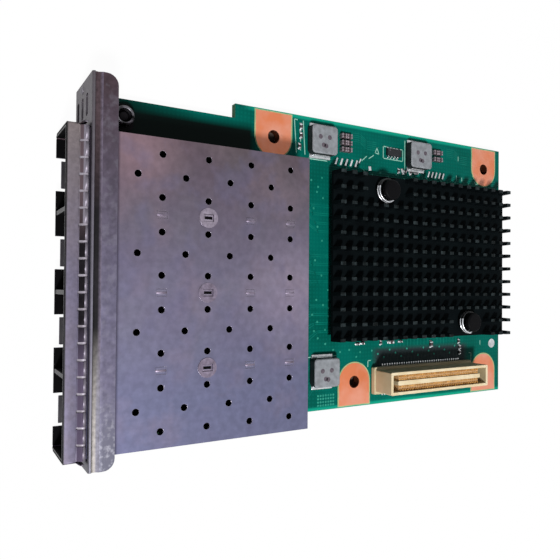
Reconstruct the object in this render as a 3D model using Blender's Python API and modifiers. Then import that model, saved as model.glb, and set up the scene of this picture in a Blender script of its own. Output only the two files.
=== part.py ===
"""Mezzanine network card: a stepped circuit board with a bent steel faceplate, a cage for four pluggable
optical modules, a pin-fin heat sink and a board-to-board connector.

Metres, +Z up. The card lies flat with its component side up: the ports face -Y and the board's long edges
run along Y. Everything is parented to the empty "card" and placed in the card's own coordinates: x = 0 on
the cage's centre line, y = 0 on the faceplate's front face, z = 0 on the board's top face.
"""

import math

import bmesh
import bpy
from mathutils import Matrix, Vector

# Clearance between pieces that touch on the real card
GAP = 0.0003

# Circuit board: a front part under the cage and a rear part round the heat sink, stepped at both sides
BOARD_THICKNESS = 0.0016
BOARD_SETBACK = 0.0014
BOARD_BESIDE_CAGE = 0.0022
NOTCH_DEPTH = 0.0031
NOTCH_AHEAD_OF_CAGE_REAR = 0.0127
RIGHT_STEP_BEHIND_CAGE = 0.0017
MOUNT_HOLE_DIAMETER = 0.0029
MOUNT_HOLE_INSET = 0.0059
MOUNT_HOLE_REAR_INSET = 0.0065
MOUNT_PAD_RADIUS = 0.0046
MOUNT_PAD_RISE = 0.00005
MOUNT_PAD_EDGE = 0.0003
LEFT_HOLE_BEHIND_NOTCH = 0.0095
RIGHT_HOLE_BEHIND_CAGE = 0.0196

# Cage: ports side by side in one folded sheet
PORTS = 4
BAY_WIDTH = 0.01345
DIVIDER_THICKNESS = 0.0008
CAGE_WALL = 0.0003
CAGE_TOP = 0.0098
CAGE_LENGTH = 0.0490
CAGE_OVERHANG = 0.0040
TAIL_WIDTH = 0.0008
TAIL_THICKNESS = 0.0002
TAIL_PROJECTION = 0.0008
TAIL_HOLE_DIAMETER = 0.0016
SIDE_TAILS = 5
FIRST_SIDE_TAIL_Y = 0.0065
LAST_SIDE_TAIL_FROM_REAR = 0.0029

# Vent holes in the cage's top: two rows beside each port's centre line, one on it and half a pitch ahead
VENT_DIAMETER = 0.00135
VENT_COLUMNS = 4
VENT_STAGGER = 0.00396
FIRST_VENT_Y = 0.0130
LAST_VENT_FROM_REAR = 0.0046
EMBOSS_DIAMETER = 0.0038
EMBOSS_HEIGHT = 0.0002
EMBOSSED_COLUMN = 1

# Dividers stand between the ports, with tabs up through the cover and tails down through the board
TAB_LENGTH = 0.0015
DIVIDER_SETBACK = 0.0001
DIVIDER_TAILS_FROM_REAR = (0.0340, 0.0200, 0.0088)

# Cage floor with one sprung latch tongue for each port
TONGUE_WIDTH = 0.0050
TONGUE_LENGTH = 0.0120
TONGUE_SLIT = 0.0005
TONGUE_SETBACK = 0.0009
LATCH_HOLE_WIDTH = 0.0020
LATCH_HOLE_LENGTH = 0.0026
LATCH_HOLE_BACK = 0.0060

# Spring-finger collar over the top and sides of the cage's mouth, hemmed in under its floor
COLLAR_THICKNESS = 0.0002
COLLAR_SETBACK = 0.0001
COLLAR_BAND = 0.0020
COLLAR_CORNER = 0.0003
COLLAR_HEM = 0.0014
FINGERS_ACROSS = 20
FINGERS_UPRIGHT = 3
FINGER_SLOT = 0.00045
FINGER_BULGE = 0.00065

# Receptacle at the back of each port
PORT_CONNECTOR_WIDTH = 0.0116
PORT_CONNECTOR_DEPTH = 0.0094
PORT_CONNECTOR_HEIGHT = 0.0060
ROOM_BEHIND_CONNECTOR = 0.0031
ROOM_AHEAD_OF_CONNECTOR = 0.0012
CARD_SLOT_WIDTH = 0.0098
CARD_SLOT_HEIGHT = 0.0016
CARD_SLOT_DEPTH = 0.0062
CARD_SLOT_Z = 0.0036

# Faceplate: bent steel sheet, front plate and rear flange
PLATE_THICKNESS = 0.0008
PLATE_LEFT_MARGIN = 0.0091
PLATE_RIGHT_MARGIN = 0.0018
PLATE_TOP = 0.0110
PLATE_BOTTOM = -0.0026
CUTOUT_CLEARANCE = 0.0005
FLANGE_DEPTH = 0.0045
FLANGE_RADIUS = 0.0020
BEND_RADIUS = 0.0004
CREASE_Y = 0.0005
CREASE_WIDTH = 0.00135
CREASE_DEPTH = 0.00035
PLATE_SLOTS = 3
PLATE_SLOT_LENGTH = 0.0040
PLATE_SLOT_HEIGHT = 0.0018
PLATE_SLOT_PITCH = 0.0037
PLATE_SLOT_INSET = 0.0028
FIRST_PLATE_SLOT_Z = -0.0006
FOOT_WIDTH = 0.0052
FOOT_LENGTH = 0.0104
PLATE_BEYOND_BOARD = 0.00056

# The foot's clinch nut, and the screw that comes up into it through the board
SCREW_BOARD_INSET = 0.0039
SCREW_FOOT_INSET = 0.0025
SCREW_DIAMETER = 0.0020
SCREW_CLEARANCE = 0.0003
SCREW_HEAD_DIAMETER = 0.0044
NUT_DIAMETER = 0.0038
NUT_HEIGHT = 0.0015
SCREW_BELOW_NUT_TOP = 0.0009

# Heat sink: a base with rows of tapered pins, over the controller chip
SINK_LEFT_MARGIN = 0.0123
SINK_REAR_MARGIN = 0.0022
SINK_BEHIND_CAGE = 0.0110
PIN_ROWS = 12
PIN_COLUMNS = 19
PIN_ROW_PITCH = 0.0035
PIN_COLUMN_PITCH = 0.00311
PIN_WIDTH = 0.0010
PIN_LENGTH = 0.0018
PIN_TIP_SHARE = 0.82
PIN_HEIGHT = 0.0029
SINK_BASE_THICKNESS = 0.0008

# Controller chip and thermal pad under the heat sink
CHIP_SIZE = 0.0250
CHIP_THICKNESS = 0.0006
DIE_SIZE = 0.0160
DIE_THICKNESS = 0.0005
PAD_SIZE = 0.0190
PAD_THICKNESS = 0.0003

# Push pins and their springs, at two of the heat sink's corners
PUSH_INSET_X = 0.00365
PUSH_INSET_Y = 0.0149
PUSH_CLEAR_X = 0.0035
PUSH_CLEAR_Y = 0.0055
PUSH_HEAD_DIAMETER = 0.0050
PUSH_HEAD_HEIGHT = 0.0011
PUSH_SHAFT_DIAMETER = 0.0024
PUSH_HOLE_DIAMETER = 0.0032
PUSH_BARB_DIAMETER = 0.0037
SPRING_WIRE = 0.0005
SPRING_DIAMETER = 0.0060
SPRING_TURNS = 2
SPRING_PITCH = 0.00075

# Board-to-board connector, in line with the mounting holes along the board's right edge
MEZZ_FROM_SINK = 0.0102
MEZZ_BEHIND_HOLE = 0.0219
MEZZ_LENGTH = 0.0330
MEZZ_WIDTH = 0.0054
MEZZ_HEIGHT = 0.0070
MEZZ_WALL = 0.0007
MEZZ_BASE_MARGIN = 0.0006
MEZZ_BASE_HEIGHT = 0.0012
MEZZ_CORNER = 0.0003
TONGUE_BLADE_THICKNESS = 0.0011
TONGUE_BLADE_MARGIN = 0.0018
TONGUE_BLADE_DROP = 0.0004

# Power inductors: two along the board's left edge and one ahead of the connector
INDUCTOR_WIDTH = 0.0066
INDUCTOR_LENGTH = 0.0070
INDUCTOR_HEIGHT = 0.0024
INDUCTOR_CORNER = 0.0008
INDUCTOR_RIM = 0.0003
INDUCTOR_INSET = 0.0054
INDUCTORS_BEHIND_CAGE = (0.0091, 0.0389, 0.0101)
INDUCTOR_FROM_MEZZ = 0.0031

# Ceramic capacitors behind the first two inductors: how far each stands from its inductor's centre line
CAPACITOR_OFFSETS = ((-0.0021, -0.0005, 0.0011), (-0.0018, 0.0000))
CAPACITOR_WIDTH = 0.0011
CAPACITOR_LENGTH = 0.0030
CAPACITOR_HEIGHT = 0.0010
CAPACITOR_BEHIND_INDUCTOR = 0.0022

# Small eight-legged chip ahead of the second inductor
FLASH_AHEAD_OF_INDUCTOR = 0.0020
FLASH_WIDTH = 0.0018
FLASH_LENGTH = 0.0044
FLASH_HEIGHT = 0.0008
FLASH_LEGS_PER_SIDE = 4
FLASH_LEG_PITCH = 0.0010
FLASH_LEG_WIDTH = 0.0004
FLASH_LEG_REACH = 0.0005
FLASH_LEG_THICKNESS = 0.0002

# Sides of round shapes
HOLE_SIDES = 12
SMALL_HOLE_SIDES = 8
TURNED_SIDES = 20
CORNER_STEPS = 3

# Places worked out from the sizes above: first the cage and the faceplate round it
PORT_PITCH = BAY_WIDTH + DIVIDER_THICKNESS
CAGE_HALF_WIDTH = (PORTS * PORT_PITCH - DIVIDER_THICKNESS) / 2 + CAGE_WALL
CAGE_FRONT = -CAGE_OVERHANG
CAGE_REAR = CAGE_LENGTH - CAGE_OVERHANG
PORT_XS = [(port - (PORTS - 1) / 2) * PORT_PITCH for port in range(PORTS)]
DIVIDER_XS = [(PORT_XS[port] + PORT_XS[port + 1]) / 2 for port in range(PORTS - 1)]
VENT_PITCH = (CAGE_REAR - LAST_VENT_FROM_REAR - FIRST_VENT_Y) / (VENT_COLUMNS - 1)
VENT_YS = [FIRST_VENT_Y + column * VENT_PITCH for column in range(VENT_COLUMNS)]
SIDE_TAIL_PITCH = (CAGE_REAR - LAST_SIDE_TAIL_FROM_REAR - FIRST_SIDE_TAIL_Y) / (SIDE_TAILS - 1)
SIDE_TAIL_YS = [FIRST_SIDE_TAIL_Y + tail * SIDE_TAIL_PITCH for tail in range(SIDE_TAILS)]
DIVIDER_TAIL_YS = [CAGE_REAR - distance for distance in DIVIDER_TAILS_FROM_REAR]
PORT_CONNECTOR_BACK = CAGE_REAR - CAGE_WALL - ROOM_BEHIND_CONNECTOR
PORT_CONNECTOR_FRONT = PORT_CONNECTOR_BACK - PORT_CONNECTOR_DEPTH
FLOOR_BACK = PORT_CONNECTOR_FRONT - ROOM_AHEAD_OF_CONNECTOR
FLOOR_BOTTOM = GAP
FLOOR_TOP = FLOOR_BOTTOM + CAGE_WALL
CUTOUT_HALF_WIDTH = CAGE_HALF_WIDTH + CUTOUT_CLEARANCE
PLATE_LEFT = -CUTOUT_HALF_WIDTH - PLATE_LEFT_MARGIN
PLATE_RIGHT = CUTOUT_HALF_WIDTH + PLATE_RIGHT_MARGIN

# Then across the board and along it, from the plate and the cage to the far edges
FRONT_LEFT = PLATE_LEFT + PLATE_BEYOND_BOARD
FRONT_RIGHT = CAGE_HALF_WIDTH + BOARD_BESIDE_CAGE
BOARD_LEFT = FRONT_LEFT - NOTCH_DEPTH
SINK_WIDTH = (PIN_ROWS - 1) * PIN_ROW_PITCH + PIN_WIDTH
SINK_LENGTH = (PIN_COLUMNS - 1) * PIN_COLUMN_PITCH + PIN_LENGTH
SINK_CENTRE_X = BOARD_LEFT + SINK_LEFT_MARGIN + SINK_WIDTH / 2
SINK_CENTRE_Y = CAGE_REAR + SINK_BEHIND_CAGE + SINK_LENGTH / 2
MEZZ_X = SINK_CENTRE_X + SINK_WIDTH / 2 + MEZZ_FROM_SINK
BOARD_RIGHT = MEZZ_X + MOUNT_HOLE_INSET
BOARD_REAR = SINK_CENTRE_Y + SINK_LENGTH / 2 + SINK_REAR_MARGIN
NOTCH_Y = CAGE_REAR - NOTCH_AHEAD_OF_CAGE_REAR
RIGHT_STEP_Y = CAGE_REAR + RIGHT_STEP_BEHIND_CAGE
RIGHT_HOLE_Y = CAGE_REAR + RIGHT_HOLE_BEHIND_CAGE
MEZZ_Y = RIGHT_HOLE_Y + MEZZ_BEHIND_HOLE
MOUNT_HOLES = (
    (BOARD_LEFT + MOUNT_HOLE_INSET, NOTCH_Y + LEFT_HOLE_BEHIND_NOTCH),
    (BOARD_LEFT + MOUNT_HOLE_INSET, BOARD_REAR - MOUNT_HOLE_REAR_INSET),
    (MEZZ_X, RIGHT_HOLE_Y),
    (MEZZ_X, BOARD_REAR - MOUNT_HOLE_REAR_INSET),
)
BOARD_BOTTOM = -BOARD_THICKNESS
TAIL_TIP = BOARD_BOTTOM - TAIL_PROJECTION
FOOT_X = FRONT_LEFT + SCREW_BOARD_INSET
FOOT_SCREW_Y = FOOT_LENGTH - SCREW_FOOT_INSET
FOOT_BOTTOM = GAP
FOOT_TOP = FOOT_BOTTOM + PLATE_THICKNESS
SCREW_HOLE_DIAMETER = SCREW_DIAMETER + 2 * SCREW_CLEARANCE
CHIP_TOP = GAP + CHIP_THICKNESS + DIE_THICKNESS
PAD_BOTTOM = CHIP_TOP + GAP
SINK_BOTTOM = PAD_BOTTOM + PAD_THICKNESS + GAP
SINK_BASE_TOP = SINK_BOTTOM + SINK_BASE_THICKNESS
PUSH_OFFSET_X = SINK_WIDTH / 2 - PUSH_INSET_X
PUSH_OFFSET_Y = SINK_LENGTH / 2 - PUSH_INSET_Y
PUSH_PINS = {
    "front": (SINK_CENTRE_X - PUSH_OFFSET_X, SINK_CENTRE_Y - PUSH_OFFSET_Y),
    "rear": (SINK_CENTRE_X + PUSH_OFFSET_X, SINK_CENTRE_Y + PUSH_OFFSET_Y),
}
SPRING_START = SINK_BASE_TOP + GAP + SPRING_WIRE / 2
SPRING_END = SPRING_START + SPRING_TURNS * SPRING_PITCH
PUSH_HEAD_BOTTOM = SPRING_END + SPRING_WIRE / 2 + GAP
INDUCTOR_XS = (BOARD_LEFT + INDUCTOR_INSET, BOARD_LEFT + INDUCTOR_INSET, MEZZ_X - INDUCTOR_FROM_MEZZ)
INDUCTOR_CENTRES = [(x, CAGE_REAR + behind) for x, behind in zip(INDUCTOR_XS, INDUCTORS_BEHIND_CAGE)]
CAPACITOR_DISTANCE = INDUCTOR_LENGTH / 2 + CAPACITOR_BEHIND_INDUCTOR + CAPACITOR_LENGTH / 2
FLASH_X = INDUCTOR_CENTRES[1][0]
FLASH_Y = INDUCTOR_CENTRES[1][1] - INDUCTOR_LENGTH / 2 - FLASH_AHEAD_OF_INDUCTOR - FLASH_LENGTH / 2

# The card's origin is the centre of the underside of its bounding box
ORIGIN_X = (BOARD_LEFT + PLATE_RIGHT) / 2
ORIGIN_Y = (CAGE_FRONT + BOARD_REAR) / 2
ORIGIN_Z = PLATE_BOTTOM


def clear_scene():
    for obj in list(bpy.data.objects):
        bpy.data.objects.remove(obj, do_unlink=True)


def make_collection(name):
    collection = bpy.data.collections.new(name)
    bpy.context.scene.collection.children.link(collection)
    return collection


def make_material(name, colour, roughness, metallic=0.0):
    material = bpy.data.materials.new(name)
    material.use_nodes = True
    shader = material.node_tree.nodes["Principled BSDF"]
    shader.inputs["Base Color"].default_value = (*colour, 1.0)
    shader.inputs["Roughness"].default_value = roughness
    shader.inputs["Metallic"].default_value = metallic
    return material


def add_box(bm, low, high):
    low, high = Vector(low), Vector(high)
    place = Matrix.Translation((low + high) / 2) @ Matrix.Diagonal((*(high - low), 1.0))
    bmesh.ops.create_cube(bm, size=1.0, matrix=place)


def add_cylinder(bm, x, y, diameter, low, high, sides=HOLE_SIDES):
    place = Matrix.Translation((x, y, (low + high) / 2))
    radius = diameter / 2
    bmesh.ops.create_cone(
        bm, cap_ends=True, segments=sides, radius1=radius, radius2=radius, depth=high - low, matrix=place
    )


def add_prism(bm, outline, depth):
    """Extrudes a closed outline of 3-D points by the vector depth."""
    face = bm.faces.new([bm.verts.new(point) for point in outline])
    moved = bmesh.ops.extrude_face_region(bm, geom=[face])["geom"]
    bmesh.ops.translate(bm, verts=[item for item in moved if isinstance(item, bmesh.types.BMVert)], vec=depth)


def arc(x, y, radius, start, end, steps=CORNER_STEPS):
    """Points on an arc about (x, y), from angle start to angle end in degrees."""
    angles = [math.radians(start + (end - start) * step / steps) for step in range(steps + 1)]
    return [(x + radius * math.cos(angle), y + radius * math.sin(angle)) for angle in angles]


def rounded_rectangle(x, y, width, length, radius):
    dx, dy = width / 2 - radius, length / 2 - radius
    corners = ((dx, dy, 0), (-dx, dy, 90), (-dx, -dy, 180), (dx, -dy, 270))
    return [point for cx, cy, start in corners for point in arc(x + cx, y + cy, radius, start, start + 90)]


def add_block(bm, x, y, width, length, radius, low, high):
    """A plate or block with rounded upright corners."""
    outline = [(px, py, low) for px, py in rounded_rectangle(x, y, width, length, radius)]
    add_prism(bm, outline, Vector((0.0, 0.0, high - low)))


def finish_mesh(name, bm, collection, material=None):
    bmesh.ops.recalc_face_normals(bm, faces=bm.faces)
    mesh = bpy.data.meshes.new(name)
    bm.to_mesh(mesh)
    bm.free()
    if material:
        mesh.materials.append(material)
    obj = bpy.data.objects.new(name, mesh)
    collection.objects.link(obj)
    obj.parent = CARD
    return obj


def add_part(name, bm, material):
    return finish_mesh(name, bm, PARTS, material)


def combine(obj, name, bm, operation):
    """Cuts the shapes in bm from the object, or joins them to it."""
    tool = finish_mesh(name, bm, TOOLS)
    tool.hide_render = True
    tool.display_type = "WIRE"
    modifier = obj.modifiers.new(name, "BOOLEAN")
    modifier.operation = operation
    modifier.solver = "EXACT"
    modifier.object = tool


def soften(obj, width, segments=1):
    """Rounds the rims, where faces meet at about a right angle."""
    modifier = obj.modifiers.new("Rims", "BEVEL")
    modifier.width = width
    modifier.segments = segments
    modifier.limit_method = "ANGLE"
    modifier.angle_limit = math.radians(60)


def add_turned(name, profile, x, y, material):
    """A profile in the XZ plane, from the top down its outer side, turned about the upright axis at x, y."""
    mesh = bpy.data.meshes.new(name)
    closed = profile[0][0] > 0
    edges = [(index, index + 1) for index in range(len(profile) - 1)]
    if closed:
        edges.append((len(profile) - 1, 0))
    mesh.from_pydata([(radius, 0.0, height) for radius, height in profile], edges, [])
    mesh.materials.append(material)
    obj = bpy.data.objects.new(name, mesh)
    PARTS.objects.link(obj)
    obj.parent = CARD
    obj.location = (x, y, 0.0)
    modifier = obj.modifiers.new("Turn", "SCREW")
    modifier.steps = modifier.render_steps = TURNED_SIDES
    modifier.use_merge_vertices = True
    modifier.merge_threshold = 0.000001
    modifier.use_smooth_shade = True
    return obj


def comb_edge(start, end, level, tooth_level, teeth, tooth_width):
    """An edge from start to end at one level, with square teeth out to another."""
    way = 1 if end > start else -1
    points = [(start, level)]
    for centre in sorted(teeth, reverse=way < 0):
        near, far = centre - way * tooth_width / 2, centre + way * tooth_width / 2
        points += [(near, level), (near, tooth_level), (far, tooth_level), (far, level)]
    return points + [(end, level)]


def add_mount_pad(bm, x, y):
    """A thin plated pad about a mounting hole: round towards the board's middle, square towards its edge."""
    side = 1 if x > 0 else -1
    edge = (BOARD_RIGHT if x > 0 else BOARD_LEFT) - side * MOUNT_PAD_EDGE
    outline = [(edge, y - side * MOUNT_PAD_RADIUS), (edge, y + side * MOUNT_PAD_RADIUS)]
    start = 90 * side
    outline += arc(x, y, MOUNT_PAD_RADIUS, start, start + 180, TURNED_SIDES // 2)
    rise = Vector((0.0, 0.0, BOARD_THICKNESS / 2 + MOUNT_PAD_RISE))
    add_prism(bm, [(px, py, -BOARD_THICKNESS / 2) for px, py in outline], rise)


def build_board():
    """The front part carries the cage; the rear part, past the steps, the heat sink and the connector."""
    outline = (
        (FRONT_LEFT, BOARD_SETBACK),
        (FRONT_RIGHT, BOARD_SETBACK),
        (FRONT_RIGHT, RIGHT_STEP_Y),
        (BOARD_RIGHT, RIGHT_STEP_Y),
        (BOARD_RIGHT, BOARD_REAR),
        (BOARD_LEFT, BOARD_REAR),
        (BOARD_LEFT, NOTCH_Y),
        (FRONT_LEFT, NOTCH_Y),
    )
    bm = bmesh.new()
    add_prism(bm, [(x, y, BOARD_BOTTOM) for x, y in outline], Vector((0.0, 0.0, BOARD_THICKNESS)))
    board = add_part("pcb", bm, GREEN_BOARD)

    pads = bmesh.new()
    for x, y in MOUNT_HOLES:
        add_mount_pad(pads, x, y)
    combine(board, "mount_pads", pads, "UNION")

    below, above = BOARD_BOTTOM - BOARD_THICKNESS, BOARD_THICKNESS
    holes = bmesh.new()
    for x, y in MOUNT_HOLES:
        add_cylinder(holes, x, y, MOUNT_HOLE_DIAMETER, below, above, TURNED_SIDES)
    combine(board, "mount_holes", holes, "DIFFERENCE")

    holes = bmesh.new()
    for x, y in PUSH_PINS.values():
        add_cylinder(holes, x, y, PUSH_HOLE_DIAMETER, below, above)
    add_cylinder(holes, FOOT_X, FOOT_SCREW_Y, SCREW_HOLE_DIAMETER, below, above)
    combine(board, "fastener_holes", holes, "DIFFERENCE")

    holes = bmesh.new()
    for x in (-CAGE_HALF_WIDTH + CAGE_WALL / 2, CAGE_HALF_WIDTH - CAGE_WALL / 2):
        for y in SIDE_TAIL_YS:
            add_cylinder(holes, x, y, TAIL_HOLE_DIAMETER, below, above, SMALL_HOLE_SIDES)
    for x in DIVIDER_XS:
        for y in DIVIDER_TAIL_YS:
            add_cylinder(holes, x, y, TAIL_HOLE_DIAMETER, below, above, SMALL_HOLE_SIDES)
    combine(board, "tail_holes", holes, "DIFFERENCE")


def flange_corner(x, side, radius):
    """What the flange's rounded rear corner leaves out: side is -1 at the left end and 1 at the right."""
    centre_x, centre_y = x - side * radius, FLANGE_DEPTH - radius
    start = 90 if side > 0 else 180
    points = arc(centre_x, centre_y, radius, start, start - 90, 2 * CORNER_STEPS)
    spare_x, spare_y = x + side * radius, FLANGE_DEPTH + radius
    if side > 0:
        return points + [(spare_x, centre_y), (spare_x, spare_y), (centre_x, spare_y)]
    return points + [(centre_x, spare_y), (spare_x, spare_y), (spare_x, centre_y)]


def build_faceplate():
    """One bent sheet: the front plate, a creased bend, the flange over the cage and a foot on the board."""
    underside = PLATE_TOP - PLATE_THICKNESS
    profile = (
        [(0.0, PLATE_BOTTOM), (PLATE_THICKNESS, PLATE_BOTTOM), (PLATE_THICKNESS, underside)]
        + [(FLANGE_DEPTH, underside), (FLANGE_DEPTH, PLATE_TOP), (CREASE_Y + CREASE_WIDTH, PLATE_TOP)]
        + [(CREASE_Y + CREASE_WIDTH / 2, PLATE_TOP - CREASE_DEPTH)]
        + [(CREASE_Y + CREASE_DEPTH / 2, PLATE_TOP - CREASE_DEPTH), (CREASE_Y, PLATE_TOP)]
        + arc(BEND_RADIUS, PLATE_TOP - BEND_RADIUS, BEND_RADIUS, 90, 180)
    )
    bm = bmesh.new()
    add_prism(bm, [(PLATE_LEFT, y, z) for y, z in profile], Vector((PLATE_RIGHT - PLATE_LEFT, 0.0, 0.0)))
    plate = add_part("faceplate", bm, NICKEL_STEEL)

    foot = bmesh.new()
    length = FOOT_LENGTH - PLATE_THICKNESS
    add_block(foot, FOOT_X, FOOT_LENGTH / 2, FOOT_WIDTH, length, FOOT_WIDTH / 4, FOOT_BOTTOM, FOOT_TOP)
    combine(plate, "foot", foot, "UNION")

    cuts = bmesh.new()
    front, back = -PLATE_THICKNESS, PLATE_THICKNESS + GAP
    sill, lintel = FLOOR_BOTTOM - CUTOUT_CLEARANCE, CAGE_TOP + GAP
    add_box(cuts, (-CUTOUT_HALF_WIDTH, front, sill), (CUTOUT_HALF_WIDTH, back, lintel))
    slot_x = PLATE_LEFT + PLATE_SLOT_INSET + PLATE_SLOT_LENGTH / 2
    for slot in range(PLATE_SLOTS):
        z = FIRST_PLATE_SLOT_Z + slot * PLATE_SLOT_PITCH
        outline = rounded_rectangle(slot_x, z, PLATE_SLOT_LENGTH, PLATE_SLOT_HEIGHT, PLATE_SLOT_HEIGHT / 3)
        add_prism(cuts, [(px, front, pz) for px, pz in outline], Vector((0.0, back - front, 0.0)))
    for x, side in ((PLATE_LEFT, -1), (PLATE_RIGHT, 1)):
        corner = [(px, py, underside - GAP) for px, py in flange_corner(x, side, FLANGE_RADIUS)]
        add_prism(cuts, corner, Vector((0.0, 0.0, PLATE_THICKNESS + 2 * GAP)))
    add_cylinder(cuts, FOOT_X, FOOT_SCREW_Y, SCREW_HOLE_DIAMETER, FOOT_BOTTOM - GAP, FOOT_TOP + GAP)
    combine(plate, "plate_cuts", cuts, "DIFFERENCE")


def build_foot_fasteners():
    bore, half = SCREW_HOLE_DIAMETER / 2, NUT_DIAMETER / 2
    low, high = FOOT_TOP + GAP, FOOT_TOP + GAP + NUT_HEIGHT
    chamfer = NUT_HEIGHT / 5
    ring = ((bore, high), (half - chamfer, high), (half, high - chamfer), (half, low), (bore, low))
    add_turned("bezel_nut", ring, FOOT_X, FOOT_SCREW_Y, NICKEL_STEEL)

    head_top, head_bottom = BOARD_BOTTOM - GAP, PLATE_BOTTOM
    head, shank = SCREW_HEAD_DIAMETER / 2, SCREW_DIAMETER / 2
    rim = (head_top - head_bottom) / 3
    tip = high - SCREW_BELOW_NUT_TOP
    profile = (
        (0.0, tip),
        (shank - rim, tip),
        (shank, tip - rim),
        (shank, head_top),
        (head, head_top),
        (head, head_bottom + rim),
        (head - rim, head_bottom),
        (0.0, head_bottom),
    )
    screw = add_turned("bezel_screw", profile, FOOT_X, FOOT_SCREW_Y, NICKEL_STEEL)
    recess = bmesh.new()
    arm, width = SCREW_HEAD_DIAMETER * 0.3, SCREW_HEAD_DIAMETER * 0.07
    quarter = ((arm, -width), (arm, width), (width, width))
    cross = []
    for turn in range(4):
        spin = Matrix.Rotation(math.radians(90 * turn), 2)
        cross += [spin @ Vector(point) for point in quarter]
    outline = [(FOOT_X + px, FOOT_SCREW_Y + py, head_bottom - GAP) for px, py in cross]
    add_prism(recess, outline, Vector((0.0, 0.0, GAP + 2 * rim)))
    combine(screw, "cross_recess", recess, "DIFFERENCE")


def build_cage_cover():
    """Top, sides and rear of one folded sheet, open at the front and below, with solder tails and vents."""
    bm = bmesh.new()
    add_box(
        bm,
        (-CAGE_HALF_WIDTH, CAGE_FRONT, FLOOR_BOTTOM),
        (CAGE_HALF_WIDTH, CAGE_REAR, CAGE_TOP),
    )
    bm.normal_update()
    opened = [face for face in bm.faces if face.normal.z < -0.5 or face.normal.y < -0.5]
    bmesh.ops.delete(bm, geom=opened, context="FACES")
    cover = add_part("cage_cover", bm, CAGE_STEEL)
    sheet = cover.modifiers.new("Sheet", "SOLIDIFY")
    sheet.thickness = CAGE_WALL
    sheet.offset = -1.0
    sheet.use_even_offset = True

    extras = bmesh.new()
    for side in (-1, 1):
        x = side * (CAGE_HALF_WIDTH - CAGE_WALL / 2)
        for y in SIDE_TAIL_YS:
            add_box(
                extras,
                (x - TAIL_THICKNESS / 2, y - TAIL_WIDTH / 2, TAIL_TIP),
                (x + TAIL_THICKNESS / 2, y + TAIL_WIDTH / 2, FLOOR_BOTTOM + TAIL_WIDTH),
            )
    y = VENT_YS[EMBOSSED_COLUMN]
    for x in DIVIDER_XS:
        low, high = CAGE_TOP - CAGE_WALL / 2, CAGE_TOP + EMBOSS_HEIGHT
        add_cylinder(extras, x, y, EMBOSS_DIAMETER, low, high, TURNED_SIDES)
    combine(cover, "cover_tails", extras, "UNION")

    cuts = bmesh.new()
    low, high = CAGE_TOP - 2 * CAGE_WALL, CAGE_TOP + 2 * CAGE_WALL
    for x in PORT_XS:
        for y in VENT_YS:
            add_cylinder(cuts, x - VENT_STAGGER, y, VENT_DIAMETER, low, high)
            add_cylinder(cuts, x, y - VENT_PITCH / 2, VENT_DIAMETER, low, high)
            add_cylinder(cuts, x + VENT_STAGGER, y, VENT_DIAMETER, low, high)
    half_width, half_length = DIVIDER_THICKNESS / 2 + GAP, TAB_LENGTH / 2 + GAP
    for x in DIVIDER_XS:
        for y in VENT_YS:
            add_box(cuts, (x - half_width, y - half_length, low), (x + half_width, y + half_length, high))
    combine(cover, "cover_cuts", cuts, "DIFFERENCE")


def build_cage_floor():
    half = CAGE_HALF_WIDTH - CAGE_WALL - GAP
    bm = bmesh.new()
    add_box(bm, (-half, CAGE_FRONT, FLOOR_BOTTOM), (half, FLOOR_BACK, FLOOR_TOP))
    floor = add_part("cage_base", bm, CAGE_STEEL)

    cuts = bmesh.new()
    low, high = FLOOR_BOTTOM - CAGE_WALL, FLOOR_TOP + CAGE_WALL
    before = CAGE_FRONT - TONGUE_SETBACK
    tongue_front, slit_end = CAGE_FRONT + TONGUE_SETBACK, CAGE_FRONT + TONGUE_LENGTH
    for x in PORT_XS:
        inner, outer = TONGUE_WIDTH / 2, TONGUE_WIDTH / 2 + TONGUE_SLIT
        notch = [
            (x - outer, before),
            (x + outer, before),
            (x + outer, slit_end),
            (x + inner, slit_end),
            (x + inner, tongue_front),
            (x - inner, tongue_front),
            (x - inner, slit_end),
            (x - outer, slit_end),
        ]
        add_prism(cuts, [(px, py, low) for px, py in notch], Vector((0.0, 0.0, high - low)))
        hole_y = CAGE_FRONT + LATCH_HOLE_BACK
        add_box(
            cuts,
            (x - LATCH_HOLE_WIDTH / 2, hole_y - LATCH_HOLE_LENGTH / 2, low),
            (x + LATCH_HOLE_WIDTH / 2, hole_y + LATCH_HOLE_LENGTH / 2, high),
        )
    half_width, half_length = DIVIDER_THICKNESS / 2 + GAP, TAIL_WIDTH / 2 + GAP
    for x in DIVIDER_XS:
        for y in DIVIDER_TAIL_YS:
            if y < FLOOR_BACK + half_length:
                add_box(cuts, (x - half_width, y - half_length, low), (x + half_width, y + half_length, high))
    combine(floor, "floor_cuts", cuts, "DIFFERENCE")


def build_dividers():
    front, back = CAGE_FRONT + DIVIDER_SETBACK, CAGE_REAR - CAGE_WALL - GAP
    bottom, top = FLOOR_TOP + GAP, CAGE_TOP - CAGE_WALL - GAP
    outline = comb_edge(front, back, bottom, TAIL_TIP, DIVIDER_TAIL_YS, TAIL_WIDTH)
    outline += comb_edge(back, front, top, CAGE_TOP, VENT_YS, TAB_LENGTH)
    for number, x in enumerate(DIVIDER_XS, start=1):
        bm = bmesh.new()
        left = x - DIVIDER_THICKNESS / 2
        add_prism(bm, [(left, y, z) for y, z in outline], Vector((DIVIDER_THICKNESS, 0.0, 0.0)))
        add_part(f"cage_divider_{number}", bm, CAGE_STEEL)


def finger_run(low, high, count):
    """Alternate starts and ends of count fingers that share the length from low to high."""
    pitch = (high - low + FINGER_SLOT) / count
    return [low + finger * pitch + end * (pitch - FINGER_SLOT) for finger in range(count) for end in (0, 1)]


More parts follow.
